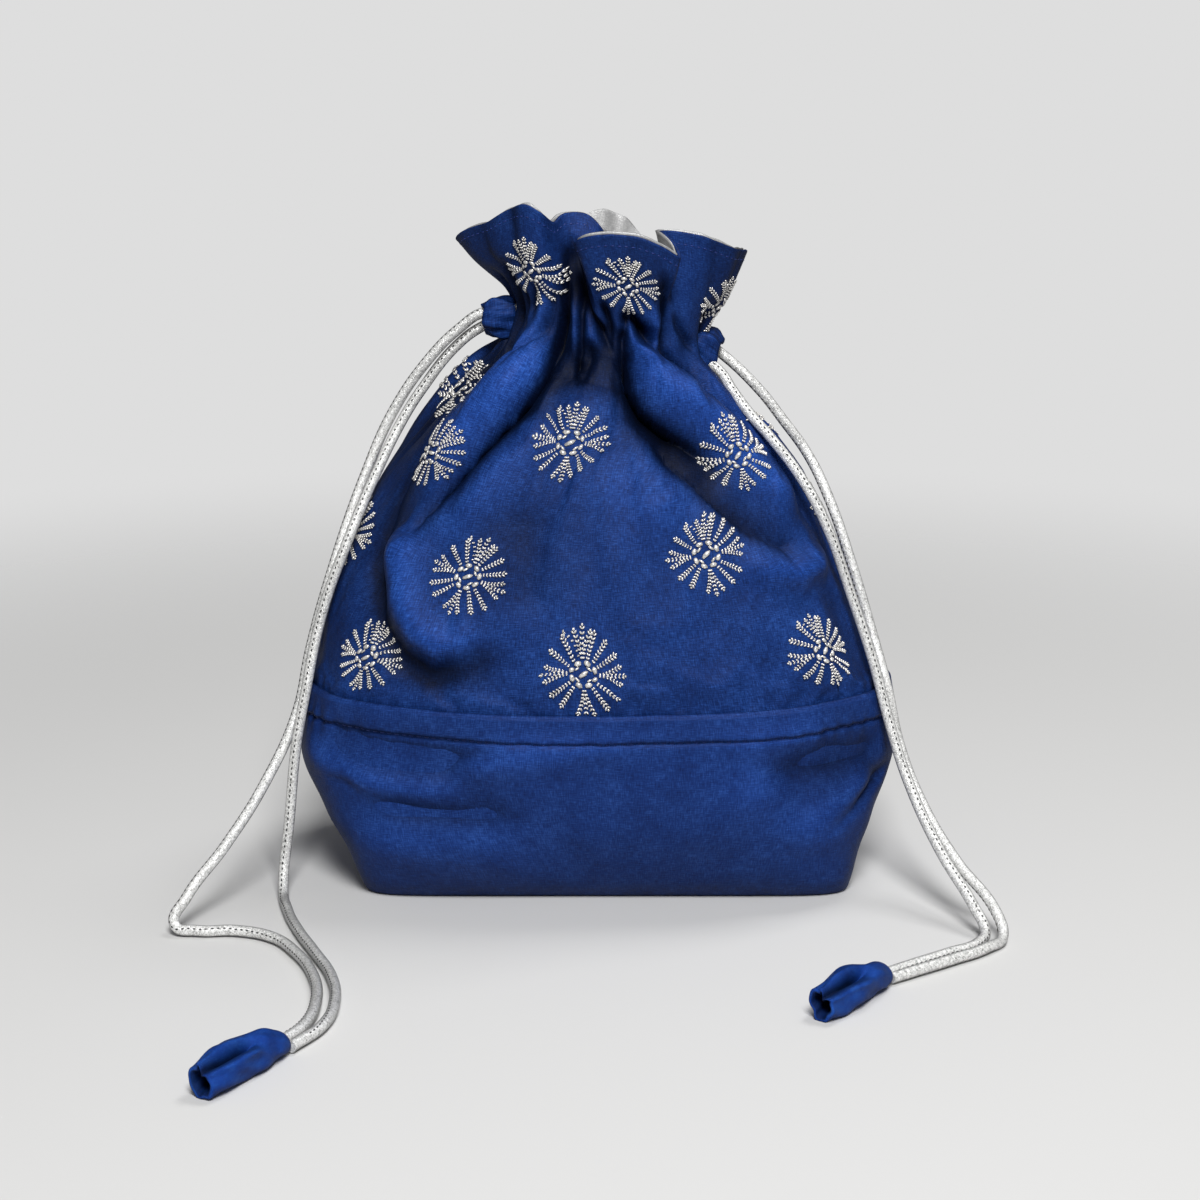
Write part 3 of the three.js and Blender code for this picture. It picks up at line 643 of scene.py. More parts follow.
# %% [markdown]
# The drawn folds are then settled by a short cloth simulation, so that the slack between them
# hangs as real cloth does. It could run on the finished cloth, but that takes minutes. So a coarse
# copy, held at the casing and at the panel, cut a little too large and pressed out a little from
# inside, buckles under its own weight. Its even sag is taken off and the rest, within a limit, is
# added to the net. The buckling is lively and runs on many threads, so its small waves come out
# a little different each time, and the limit is what keeps them small.

# %% Settling the cloth
SETTLE_COLUMNS, SETTLE_FRAMES, SETTLE_HELD_ROWS = 160, 20, 4
SETTLE_LIMIT = 0.0016  # metres
SETTLE_HEIGHTS = np.linspace(68, 182, 58)


def settle():
    """Runs the simulation on a coarse copy and adds its movement to the net."""
    mesh = turned_shell(
        "settling", SETTLE_HEIGHTS, SETTLE_HEIGHTS * 0, SETTLE_COLUMNS,
        lambda turn, height, inset: net.at(turn, height),
    )
    corner_turn, corner_row = turned_places["settling"]
    cloth = bpy.data.objects.new("settling", mesh)
    bpy.context.scene.collection.objects.link(cloth)
    held = cloth.vertex_groups.new(name="held")
    last_row = len(SETTLE_HEIGHTS) - 1
    for index, row in enumerate(corner_row):
        edge = min(row, last_row - row)
        held.add([index], max(0.0, 1 - edge / SETTLE_HELD_ROWS), "REPLACE")
    cloth_modifier = cloth.modifiers.new("cloth", "CLOTH")
    settings = cloth_modifier.settings
    settings.quality = 6
    settings.mass = 0.15
    settings.tension_stiffness = settings.compression_stiffness = 12
    settings.shear_stiffness = 4
    settings.bending_stiffness = 0.25
    settings.shrink_min = -0.05  # cut 5 % too large
    settings.vertex_group_mass = "held"
    settings.use_pressure = True
    settings.uniform_pressure_force = 0.6
    settings.effector_weights.gravity = 0.5
    cloth_modifier.point_cache.frame_end = SETTLE_FRAMES
    start = coordinates(mesh).copy()
    for number in range(1, SETTLE_FRAMES + 1):
        bpy.context.scene.frame_set(number)
    graph = bpy.context.evaluated_depsgraph_get()
    moved = coordinates(cloth.evaluated_get(graph).data) - start
    bpy.data.objects.remove(cloth)
    bpy.context.scene.frame_set(1)
    # the even sag of each row is taken off, so that the drawn outline stays
    height = SETTLE_HEIGHTS[corner_row]
    out = net.at(corner_turn, height, 1.0) - net.at(corner_turn, height)
    sag = np.bincount(corner_row, (moved * out).sum(axis=1)) / np.bincount(corner_row)
    moved -= out * sag[corner_row][:, None]
    far = np.linalg.norm(moved, axis=1, keepdims=True)
    moved *= SETTLE_LIMIT * np.tanh(far / SETTLE_LIMIT) / np.maximum(far, 1e-9)
    table = np.zeros((len(SETTLE_HEIGHTS), SETTLE_COLUMNS, 3))
    column = np.rint(corner_turn / 360 * SETTLE_COLUMNS).astype(int) % SETTLE_COLUMNS
    table[corner_row, column] = moved
    add_movement(table)
    print("settled before the limit: most", round(float(far.max()), 4), "mean",
          round(float(far.mean()), 4))


def add_movement(table):
    """Spreads the coarse table of movement smoothly over the fine net."""
    u = NET_TURNS / 360 * SETTLE_COLUMNS
    v = np.interp(NET_HEIGHTS, SETTLE_HEIGHTS, np.arange(len(SETTLE_HEIGHTS)))
    i, j = np.floor(u).astype(int), np.minimum(v.astype(int), len(SETTLE_HEIGHTS) - 2)
    fu, fv = smooth(0, 1, u - i)[None, :, None], smooth(0, 1, v - j)[:, None, None]
    right = (i + 1) % SETTLE_COLUMNS
    low = table[j][:, i] * (1 - fu) + table[j][:, right] * fu
    high = table[j + 1][:, i] * (1 - fu) + table[j + 1][:, right] * fu
    inside = (NET_HEIGHTS > SETTLE_HEIGHTS[0]) & (NET_HEIGHTS < SETTLE_HEIGHTS[-1])
    net.points += (low * (1 - fv) + high * fv) * inside[:, None, None]
    net.find_normals()


settle()

# %% [markdown]
# The upper cloth starts behind the lower panel and runs up through the casing to the ruffle's
# rim, where it is rolled over to the inside. A Solidify modifier could thicken it all over. Only
# its rim is ever seen from the side, so the rolled edge is modelled there and the rest stays one
# layer.


def mark_folds(mesh, name, heights):
    """Keeps on each corner how deep in a fold it lies, for the material, which turns it
    into painted shade in the folds and painted highlight on the crests.
    """
    turn, row = turned_places[name]
    mark = mesh.attributes.new("fold", "FLOAT", "POINT")
    mark.data.foreach_set("value", net.depth_at(turn, np.asarray(heights)[row]).astype(np.float32))


CLOTH_START, TURNED_EDGE = 46, 9
ROLL_RADIUS, ROLL_ARC = 0.55, np.radians([30, 60, 90, 120, 150])
BODY_ROWS, NECK_ROWS, RUFFLE_ROWS, TURNED_ROWS = 76, 72, 17, 8
roll_start = RIM_HEIGHT - ROLL_RADIUS
cloth_heights = np.concatenate([
    np.linspace(CLOTH_START, 150, BODY_ROWS), np.linspace(151, 206, NECK_ROWS),
    np.linspace(206.8, roll_start, RUFFLE_ROWS), roll_start + ROLL_RADIUS * np.sin(ROLL_ARC),
    np.linspace(roll_start, RIM_HEIGHT - TURNED_EDGE, TURNED_ROWS),
])
cloth_insets = np.concatenate([
    np.zeros(BODY_ROWS + NECK_ROWS + RUFFLE_ROWS), ROLL_RADIUS * (1 - np.cos(ROLL_ARC)),
    np.full(TURNED_ROWS, 2 * ROLL_RADIUS),
])

upper_mesh = turned_shell(
    "upper_cloth", cloth_heights, cloth_insets, UPPER_COLUMNS,
    lambda turn, height, inset: net.at(turn, height, -inset * MM),
)
mark_folds(upper_mesh, "upper_cloth", cloth_heights)
upper_cloth = add_object("upper_cloth", upper_mesh, ["upper_body"])
print("upper cloth triangles", 2 * len(upper_mesh.polygons))

# %% [markdown]
# The lower panel is a plain band of the same silk with a boxed flat bottom. Its top edge is
# turned under and stitched about a finger's breadth below the fold, which leaves a slightly
# thicker band with small puckers along the stitching. A bump texture could fake the band, but
# its edge is seen against the upper cloth, so the profile goes over the fold and down inside.

# %% Lower panel
PANEL_GAP, PANEL_CLOTH, HEM_WIDTH, HEM_STEP = 0.35, 1.2, 9.5, 0.9
HEM_LINE = PANEL_HEIGHT - HEM_WIDTH
FACE_ROWS, HEM_ROWS, INNER_HEIGHTS = 48, 10, [60, 46, 28, 14, 2, 1.2]
face = PANEL_GAP + PANEL_CLOTH
hem_face = face + HEM_STEP
edge_arc = np.radians(np.linspace(0, 180, 9))
edge_radius = (PANEL_CLOTH + HEM_STEP) / 2
edge_start = PANEL_HEIGHT - edge_radius
panel_heights = np.concatenate([
    [0, 0.4, 1.0], np.linspace(2, HEM_LINE - 1.2, FACE_ROWS),
    [HEM_LINE - 0.5, HEM_LINE, HEM_LINE + 0.5],
    np.linspace(HEM_LINE + 1.3, edge_start, HEM_ROWS),
    edge_start + edge_radius * np.sin(edge_arc), INNER_HEIGHTS,
])
# insets below zero lie outside the upper cloth, and the stitched line is drawn in a little
panel_insets = np.concatenate([
    [-face + 1.0, -face + 0.3, -face], np.full(FACE_ROWS, -face),
    [-face + 0.5, -face + 0.8, -face - 0.2], np.full(HEM_ROWS, -hem_face),
    -hem_face + edge_radius * (1 - np.cos(edge_arc)), np.full(len(INNER_HEIGHTS), -PANEL_GAP),
])
PUCKER_DEPTH, PUCKER_REACH, PUCKERS_ROUND = 0.42, 3.0, 71


def pucker(turn, height):
    """Small gathers that the hem's stitches pull into the cloth, in millimetres."""
    near = np.exp(-0.5 * ((height - HEM_LINE) / PUCKER_REACH) ** 2)
    uneven = 0.6 + 0.4 * np.sin(np.radians(turn * 7) + 1.0)
    drift = 1.5 * np.sin(np.radians(turn * 9))
    return PUCKER_DEPTH * near * uneven * np.sin(np.radians(turn * PUCKERS_ROUND) + drift)


def panel_place(turn, height, inset):
    """Lays the panel on the net. Only its outer side puckers."""
    outer = inset < -PANEL_GAP - 0.1
    return net.at(turn, height, -(inset - np.where(outer, pucker(turn, height), 0)) * MM)


panel_mesh = turned_shell(
    "lower_panel_cloth", panel_heights, panel_insets, PANEL_COLUMNS, panel_place, close_ends=True
)
mark_folds(panel_mesh, "lower_panel_cloth", panel_heights)
panel = add_object("lower_panel_cloth", panel_mesh, ["lower_panel"])
panel_area = sum(patch.area for patch in panel_mesh.polygons)
print("panel triangles", 2 * len(panel_mesh.polygons), "area", round(panel_area, 4))

# %% [markdown]
# The lining is a thinner inner bag of shiny silver cloth. It shows at the ruffle's mouth and as a
# pale line along the rim, and it hangs slack inside the neck. A copy of the upper cloth, scaled
# down, would cut through the deep folds. So it follows the folds only at the rim and at the base,
# keeps to the plain outline between them, and a Solidify modifier gives it its thickness.

# %% Lining
LINING_TOP = RIM_HEIGHT + 0.5
LINING_GAP, LINING_SLACK, LINING_THICKNESS = 1.5, 13.5, 0.0004
lining_heights = np.concatenate([
    [1.6, 8, 20, 40, 60, 80, 100, 120, 140, 155], np.linspace(164, 216, 54),
    [217.2, 218.4, LINING_TOP],
])


def slack_share(height):
    """Where the lining hangs clear of the cloth's folds and of the cord."""
    return smooth(2, 40, height) * (1 - smooth(NECK_HEIGHT + 8, NECK_HEIGHT + 18, height))


def lining_inset(height):
    return LINING_GAP + LINING_SLACK * slack_share(height)


def lining_place(turn, height, inset):
    """Lays the lining on the folded cloth at both ends and on the plain outline between."""
    folded = net.at(turn, height, -inset * MM)
    loose = (plain_surface(turn, height) - outward(turn, height) * inset[:, None]) * MM
    share = slack_share(height)[:, None]
    return folded * (1 - share) + loose * share


lining_mesh = turned_shell(
    "lining_cloth", lining_heights, lining_inset(lining_heights), LINING_COLUMNS, lining_place
)
lining = add_object("lining_cloth", lining_mesh, ["lining"])
print("lining area", round(sum(patch.area for patch in lining_mesh.polygons), 4))


def thicken(piece, amount):
    """Gives a one-layer cloth its thickness, on its inner side, in metres."""
    wall = piece.modifiers.new("thickness", "SOLIDIFY")
    wall.thickness = amount
    wall.offset = -1


thicken(lining, LINING_THICKNESS)

# %% [markdown]
# The wheels are worked in metal thread. Every sprig is a row of short slanting stitches in
# pairs, like a fishbone, with a bead of thread at its tip. A picture of the pattern would stay
# flat when light rakes over it, so each stitch is a small stretched ball. One wheel is built
# flat, in millimetres, and copies are laid on the cloth. Most stand for a plain wheel of the CAD
# part, and a few more fill the sides.

# %% Embroidered wheel
STITCH_LIFT = 0.35
WHEEL_RADIUS = 13.8


def stitch(work, x, y, angle, length, width, tall=0.5):
    """One satin stitch: a stretched ball, flat on the cloth."""
    place = Matrix.Translation((x, y, STITCH_LIFT)) @ Matrix.Rotation(angle, 4, "Z")
    place = place @ Matrix.Diagonal((length / 2, width / 2, tall / 2, 1))
    bmesh.ops.create_icosphere(work, subdivisions=1, radius=1, matrix=place)


def at_angle(radius, angle):
    return radius * math.cos(angle), radius * math.sin(angle)


STITCH_SLANT, STITCH_WIDTH, STITCH_HEIGHT = math.radians(48), 0.66, 0.8


def fishbone(work, angle, start, end, half_width, pitch=1.06, bend=0.0, drift=0.0):
    """A sprig: pairs of slanting stitches along a ray, growing wider and ending in a bead."""
    pairs = max(3, round((end - start) / pitch))
    for pair in range(pairs):
        share = pair / (pairs - 1)
        a = angle + bend * share * share + drift * share
        x, y = at_angle(start + (end - start) * share, a)
        spread = half_width * (0.55 + 0.45 * share)
        for side in (-1, 1):
            off_x, off_y = at_angle(side * spread * 0.42, a + math.pi / 2)
            stitch(work, x + off_x, y + off_y, a + side * STITCH_SLANT, spread * 1.35,
                   STITCH_WIDTH, STITCH_HEIGHT)
    stitch(work, *at_angle(end + 0.75, a), a, 0.95, 0.9, STITCH_HEIGHT)


NARROW_SPRIGS = [28, 50, 72, 121, 146, 212, 232, 302, 324]
FAN_SPRIGS = [0, 90, 180, 270]


PETAL_RING, INNER_RING = 3.9, 2.7


def wheel_mesh():
    """A heart, a ring of eight petals round four inner stitches, and the sprigs."""
    work = bmesh.new()
    stitch(work, 0, 0, math.radians(38), 4.2, 1.7, 0.9)
    for angle in np.arange(22.5, 360, 45):
        a = math.radians(angle)
        stitch(work, *at_angle(PETAL_RING, a), a + math.radians(80), 2.7, 1.8, 0.9)
    for angle in np.arange(45, 360, 90):
        a = math.radians(angle)
        stitch(work, *at_angle(INNER_RING, a), a + math.pi / 2, 2.4, 0.9, 0.7)
    for angle in NARROW_SPRIGS:
        fishbone(work, math.radians(angle), 5.4, 12.3, 1.2)
    for angle in FAN_SPRIGS:
        a = math.radians(angle)
        for drift in (-12, 0, 12):
            end = 12.2 if drift else 13.2
            fishbone(work, a + math.radians(drift * 0.2), 5.3, end, 1.0,
                     drift=math.radians(drift * 0.8))
    fishbone(work, math.radians(103), 6.0, 13.0, 0.55, 1.1, bend=math.radians(14))
    mesh = bpy.data.meshes.new("wheel")
    work.to_mesh(mesh)
    work.free()
    mesh.shade_smooth()
    return mesh


wheel = wheel_mesh()
wheel_flat = coordinates(wheel)
print("wheel triangles", len(wheel.polygons))

# turn, height, radius and lean of each wheel on the cloth, with its CAD node
WHEELS = {
    "low": [(220.5, 84, 13, -8), (268, 83, 13.6, 0), (319.5, 85.5, 12.8, 6), (2, 86, 10, 0),
            (46, 85, 13, 0), (90, 84, 13, 0), (134, 85, 13, 0), (178, 86, 10, 0)],
    "middle": [(242.5, 112.5, 12.8, -18), (297, 119.5, 13.2, 4), (22, 118, 12, 0), (67, 118, 13, 0),
               (113, 116, 13, 0), (158, 118, 12, 0)],
    "high": [(217, 144, 12.4, -38), (258, 153, 12.6, 4), (311, 152, 12.6, 10), (37, 147.5, 10.5, 0),
             (90, 152, 12, 0), (143, 150, 11, 0)],
    "ruffle": [(228, 200, 11.5, 0), (283, 203, 11, -4), (60, 204, 10, 0), (132, 204, 10, 0)],
}
# wheels beside the side seams, which the CAD part doesn't have
EDGE_WHEELS = [(190, 160.5, 12.5, 30), (191, 118.5, 12.5, 0), (357, 165, 12, 0), (350, 199, 11, 0),
               (354, 129, 12, 0)]


SPAN = 5.0


def lay_wheel(name, turn, height, radius, lean, node=None):
    """A copy of the wheel on the cloth at turn and height, for the CAD node if there is one."""
    scale = radius / WHEEL_RADIUS * MM
    c, s = math.cos(math.radians(lean)), math.sin(math.radians(lean))
    across = (wheel_flat[:, 0] * c - wheel_flat[:, 1] * s) * scale
    up = (wheel_flat[:, 0] * s + wheel_flat[:, 1] * c) * scale
    # metres of cloth to a degree of turn and to a millimetre of height, near the wheel
    sideways = np.linalg.norm(net.at(turn + SPAN, height) - net.at(turn - SPAN, height)) / (2 * SPAN)
    upward = np.linalg.norm(net.at(turn, height + SPAN) - net.at(turn, height - SPAN)) / (2 * SPAN)
    mesh = wheel.copy()
    mesh.name = name
    points = net.at(turn + across / sideways, height + up / upward, wheel_flat[:, 2] * scale)
    set_coordinates(mesh, points)
    return add_object(name, mesh, [node] if node else [])


wheels = []
for row, places in WHEELS.items():
    for number, place in enumerate(places, 1):
        wheels.append(lay_wheel(f"wheel_{row}_{number}", *place, f"sprig_{row}_{number}"))
for number, place in enumerate(EDGE_WHEELS, 1):
    wheels.append(lay_wheel(f"wheel_edge_{number}", *place))
print("wheels", len(wheels))

# %% [markdown]
# The hems are closed with a running stitch in blue thread. A dashed line in the cloth's colour
# would do from afar, but close by each stitch catches light. So every stitch is a small stretched
# ball along the line, sunk about halfway into the cloth.

# %% Running stitches


def stitch_row(name, line, normals, pitch, length, width, sink, slot):
    """A row of stitches along a closed or open line, with normals out of the cloth."""
    steps = np.linalg.norm(np.diff(line, axis=0), axis=1)
    along = np.concatenate([[0], np.cumsum(steps)])
    work = bmesh.new()
    for distance in np.arange(pitch / 2, along[-1], pitch):
        i = min(int(np.searchsorted(along, distance)) - 1, len(line) - 2)
        share = (distance - along[i]) / steps[i]
        point = line[i] + (line[i + 1] - line[i]) * share
        run = Vector(line[i + 1] - line[i]).normalized()
        out = Vector(normals[i]).normalized()
        side = out.cross(run).normalized()
        out = run.cross(side)
        turn = Matrix((run, side, out)).transposed().to_4x4()
        where = Matrix.Translation(Vector(point) - out * sink) @ turn
        where = where @ Matrix.Diagonal((length / 2, width / 2, width / 2, 1))
        bmesh.ops.create_icosphere(work, subdivisions=1, radius=1, matrix=where)
    mesh = bpy.data.meshes.new(name)
    work.to_mesh(mesh)
    work.free()
    mesh.shade_smooth()
    return add_object(name, mesh)


round_turns = np.linspace(0, 360, 721)


def ring_stitches(name, line, slot, **sizes):
    """A row of stitches all the way round the bag."""
    outwards = np.cross(np.gradient(line, axis=0), np.array([0, 0, 1.0]))
    return stitch_row(name, line, outwards, sink=0.00005, slot=slot, **sizes)


hem_stitches = ring_stitches(
    "hem_stitches",
    panel_place(round_turns, np.full_like(round_turns, HEM_LINE), np.full_like(round_turns, 0.6 - face)),
    "panel_cloth", pitch=0.0026, length=0.0019, width=0.0005,
)
RIM_STITCH_DROP = 3.4
rim_stitches = ring_stitches(
    "rim_stitches", net.at(round_turns, np.full_like(round_turns, RIM_HEIGHT - RIM_STITCH_DROP)),
    "embroidered_cloth", pitch=0.0022, length=0.0015, width=0.0004,
)
print("stitch triangles", len(hem_stitches.data.polygons), len(rim_stitches.data.polygons))

# %% [markdown]
# Each cord is a strip of silver-coated cloth folded over a core, so a line of small stitches runs
# along it where the strip is closed. The line lies on the side that the photograph shows. Inside
# the casing nothing is seen, so each cord's hidden stretch is one plain turn round the neck.

# %% Cord stitching and the runs inside the casing
SEAM_SIDE = {
    "left_outer": (-0.75, -0.5, 0.45), "left_inner": (-0.2, -0.9, 0.4),
    "right_outer": (-0.55, -0.65, -0.5), "right_inner": (0.3, -0.9, 0.3),
}
SEAM_SPAN = slice(6, -4)  # leaves out the cord's ends in the casing and in the pod


def cord_seam(strand):
    """The stitches along one strand, on the side that SEAM_SIDE names."""
    line = centreline(cords[strand])
    ahead = np.gradient(line, axis=0)
    ahead /= np.linalg.norm(ahead, axis=1, keepdims=True)
    wanted = np.array(SEAM_SIDE[strand])
    side = wanted - ahead * (ahead @ wanted)[:, None]
    side /= np.linalg.norm(side, axis=1, keepdims=True)
    seam = line + side * CORD_DIAMETER / 2
    return stitch_row(
        f"cord_stitches_{strand}", seam[SEAM_SPAN], side[SEAM_SPAN], pitch=0.0019, length=0.0012,
        width=0.0006, sink=0.0001, slot="silver_cord",
    )


cord_stitches = [cord_seam(strand) for strand in cords]

CASING_TOP, CASING_PITCH, CASING_INSET = 188.0, 8.0, 12.2
CASING_TURNS = np.array([
    0, 16, 32, 52, 76, 102, 128, 152, 180, 208, 232, 258, 284, 308, 328, 344, 360,
])


def casing_run(name, start, first, last, node):
    """The hidden stretch of a drawstring, round the neck inside the casing."""
    height = CASING_TOP - CASING_PITCH * CASING_TURNS / 360
    turns, heights = start + CASING_TURNS[1:-1], height[1:-1]
    points = (plain_surface(turns, heights) - outward(turns, heights) * CASING_INSET) * MM
    run = cord_object(name, [first, *points, last])
    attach(run, "root")
    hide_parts(node)
    return run


casing_runs = []
for drawstring, start, *strands in (
    ("drawstring_left", 180, "left_outer", "left_inner"),
    ("drawstring_right", 0, "right_outer", "right_inner"),
):
    ends = [Vector(STRANDS[strand][0]) * MM for strand in strands]
    casing_runs.append(casing_run(f"{drawstring}_casing", start, *ends, drawstring))
    print(drawstring, "in the casing", round(line_length(centreline(casing_runs[-1])), 3))

# %% [markdown]
# Where the cords leave, the ends of the casing stand out as short soft tubes of the blue cloth.
# A plain cylinder would look like plastic. So a circle is extruded ring by ring into a tube, and
# its corners are then swelled, crumpled and turned to the cords' direction.

# %% Casing ends


END_RINGS, END_SIDES, END_THICKNESS = 10, 48, 0.0008
END_SQUARENESS = 2.6


def plain_tube(name):
    """An open tube of radius 1 along Z, one unit from ring to ring."""
    work = bmesh.new()
    bmesh.ops.create_circle(work, segments=END_SIDES, radius=1)
    edges = work.edges[:]
    for _ in range(END_RINGS):
        grown = bmesh.ops.extrude_edge_only(work, edges=edges)["geom"]
        edges = [g for g in grown if isinstance(g, bmesh.types.BMEdge) and g.is_boundary]
        verts = [g for g in grown if isinstance(g, bmesh.types.BMVert)]
        bmesh.ops.translate(work, vec=(0, 0, 1), verts=verts)
    bmesh.ops.recalc_face_normals(work, faces=work.faces[:])
    mesh = bpy.data.meshes.new(name)
    work.to_mesh(mesh)
    work.free()
    return mesh


def round_square(angle, squareness):
    """How far a soft square reaches at an angle, where a circle has 1."""
    c, s = np.abs(np.cos(angle)), np.abs(np.sin(angle))
    return (c**squareness + s**squareness) ** (-1 / squareness)


def casing_end(name, centre, direction, wide, tall, length, mouth_turn):
    """A short crumpled cloth tube round both strands, open at its outer end."""
    mesh = plain_tube(name)
    co = coordinates(mesh)
    a = np.arctan2(co[:, 1], co[:, 0])
    share = co[:, 2] / END_RINGS
    swell = 1 + 0.16 * np.sin(share * math.pi) - 0.18 * smooth(0.7, 1, share)
    crumple = 1 + 0.1 * np.sin(5 * a + 3 * share) + 0.07 * np.sin(9 * a - 4 * share + 1)
    reach = round_square(a, END_SQUARENESS) * swell * crumple / 2
    mouth = 0.5 * np.cos(3 * a + mouth_turn) * share
    forward = np.array(direction) / np.linalg.norm(direction)
    up = np.array([0, 0, 1.0]) - forward * forward[2]
    up /= np.linalg.norm(up)
    side = np.cross(up, forward)
    points = (
        np.array(centre) + np.outer(np.cos(a) * reach * wide, side)
        + np.outer(np.sin(a) * reach * tall, up) + np.outer((share - 0.35) * length + mouth, forward)
    )
    set_coordinates(mesh, points * MM)
    uv = mesh.uv_layers.new(name="cloth")
    corners = np.empty(len(mesh.loops), int)
    mesh.loops.foreach_get("vertex_index", corners)
    uv.data.foreach_set("uv", np.stack([a[corners] * 0.004, share[corners] * 0.009], -1).ravel())
    mesh.shade_smooth()
    piece = add_object(name, mesh)
    thicken(piece, END_THICKNESS)
    return piece


casing_ends = [
    casing_end("casing_end_left", (-30.2, -0.6, 188.0), (-1, 0, -0.1), 8.6, 11.0, 11, 0.4),
    casing_end("casing_end_right", (33.0, 0.2, 178.0), (1, -0.05, -0.4), 13.5, 12.5, 11, 2.0),
]
print("casing ends", [piece.name for piece in casing_ends])

# %% [markdown]
# Each pod is a square of cloth sewn to a small pouch over the cord's knot. It swells from its
# neck, is folded in along its upper side from the middle to the end, and its open end is hollow.
# It could be sculpted from a ball. A turned shell keeps the cloth's even net, and a table of
# stations gives its width, height and squareness along its length.

# %% Pods
POD_STATIONS = np.array([
    # along, wide, tall, squareness
    (0.0, 5.2, 5.2, 2.0), (1.2, 7.2, 7.2, 2.0), (5, 8.8, 8.8, 2.1), (10, 10.0, 9.9, 2.3),
    (15, 10.6, 10.8, 2.6), (20, 10.6, 11.2, 3.0), (26, 9.8, 11.0, 3.4), (31, 8.8, 10.6, 3.8),
    (35, 7.8, 10.2, 4.0),
])
POD_LENGTH, POD_HOLLOW, POD_WALL = 35.0, 12.0, 1.5
POD_ROWS, POD_INNER_ROWS = 60, 10
TUCK_HALF = 0.4  # half the tuck's width, as an angle


def station(column, along):
    return np.interp(along, POD_STATIONS[:, 0], POD_STATIONS[:, column])


STATION_BLUR = 1.6


def smooth_station(column, along):
    """One column of the stations, averaged over a short stretch so that it has no corners."""
    samples = [station(column, along + d * STATION_BLUR) for d in (-1, -0.5, 0, 0.5, 1)]
    return np.average(samples, axis=0, weights=(1, 2, 3, 2, 1))


def hump(offset, width):
    """A smooth bump, 1 at its middle."""
    return np.exp(-((offset / width) ** 2))


def pod_dent(turn, distance, tuck, seed):
    """How far the pod's cloth is drawn in at each place, in millimetres."""
    a, off = np.radians(turn), np.radians(turn_between(tuck, turn))
    # the tuck: a notch at the middle, then a deep groove with raised lips that closes to the end
    opened, closing = smooth(13.5, 18.5, distance), smooth(20, POD_LENGTH, distance)
    groove = (5.6 - 2.8 * closing) * opened * hump(off, TUCK_HALF + 0.2 * closing)
    lips = 0.8 * opened * hump(np.abs(off) - 0.62, 0.2)
    notch = 1.8 * hump(distance - 14.5, 2.0) * hump(off, TUCK_HALF)
    waist = 0.5 * hump(distance - 8, 3.0) * np.cos(2 * a + seed)
    ripple = 0.28 * np.sin(3 * a + distance * 0.28 + seed)
    ripple += 0.16 * np.sin(7 * a - distance * 0.5 + seed)
    corner = 0.5 * smooth(26, POD_LENGTH, distance) * np.cos(4 * a + 0.6)
    return groove - lips + notch + waist - (ripple + corner) * smooth(0, 8, distance)


def pod_shell(name, neck, heading, tuck, seed, cad_node):
    """A cloth pod lying on the table, from its neck along heading, hollow at its open end.
    tuck is the turn round its axis where the cloth is folded in, from the middle to the end."""
    end = POD_LENGTH
    along = np.concatenate([
        [0], np.linspace(0.6, end, POD_ROWS), [end + 0.3, end + 0.4, end + 0.2, end - 0.4],
        np.linspace(end - 1.5, end - POD_HOLLOW, POD_INNER_ROWS),
    ])
    insets = np.concatenate([
        [2.6], np.zeros(POD_ROWS), [0.2, 0.6, 1.1, POD_WALL],
        np.linspace(1.6, 2.4, POD_INNER_ROWS - 1), [4.0],
    ])
    c, s = math.cos(math.radians(heading)), math.sin(math.radians(heading))

    def place(turn, distance, inset):
        a, dent = np.radians(turn), pod_dent(turn, distance, tuck, seed)
        k = round_square(a, smooth_station(3, distance))
        wide = smooth_station(1, distance) / 2 - inset
        tall = smooth_station(2, distance) / 2 - inset
        across = k * np.cos(a) * np.maximum(wide - dent, 0.6)
        up = k * np.sin(a) * np.maximum(tall - dent, 0.6)
        # the pod rests on the table, flattened a little where it touches
        lie = smooth_station(2, np.clip(distance, 0, end)) / 2 + 0.25
        up = np.maximum(up, -(lie - 0.2)) + lie
        x = neck[0] + distance * c - across * s
        y = neck[1] + distance * s + across * c
        return np.stack([x, y, up], axis=-1) * MM

    mesh = turned_shell(name, along, insets, POD_COLUMNS, place, close_ends=True)
    # fold mark for the silk: painted shade in the tuck and inside the hollow open end
    mark = mesh.attributes.new("fold", "FLOAT", "POINT")
    turn, row = turned_places[name]
    in_tuck = smooth(14, 22, along[row]) * hump(np.radians(turn_between(tuck, turn)), TUCK_HALF)
    mark.data.foreach_set("value", (-5.0 * in_tuck - 3.0 * (insets[row] > 0.6)).astype(np.float32))
    return add_object(name, mesh, [cad_node])


pods = [
    pod_shell("pod_left", (-88.4, -161.4), -122, 64, 0.3, "cord_end_left"),
    pod_shell("pod_right", (87.0, -111.9), -128, 60, 2.4, "cord_end_right"),
]
print("pod triangles", [2 * len(pod.data.polygons) for pod in pods])

# %% [markdown]
# The cords' lengths, which no mesh can tell. A cord's length could be typed in, but it is measured
# along its route from the casing to its pod, so that it stays true. Each cord then joins the bag in
# place of its CAD drawstring.

# %% Cord lengths
CORD_LENGTHS = {strand: round(line_length(centreline(cord)), 3) for strand, cord in cords.items()}
for strand, cord in cords.items():
    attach(cord, "root")
    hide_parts("drawstring_" + strand.split("_")[0])
print("cord lengths", CORD_LENGTHS)

# %% [markdown]
# Colours and finishes. The blue is a slubby silk with a soft sheen, the lining is a pale silver
# cloth, the cords have a crackled silver coating, and the embroidery is a pale metal thread.
# Pictures of cloth would be the usual way. Here every finish is worked out by shader nodes, so it
# stays sharp from close by, and small helpers keep the node lists short.

# %% Node helpers


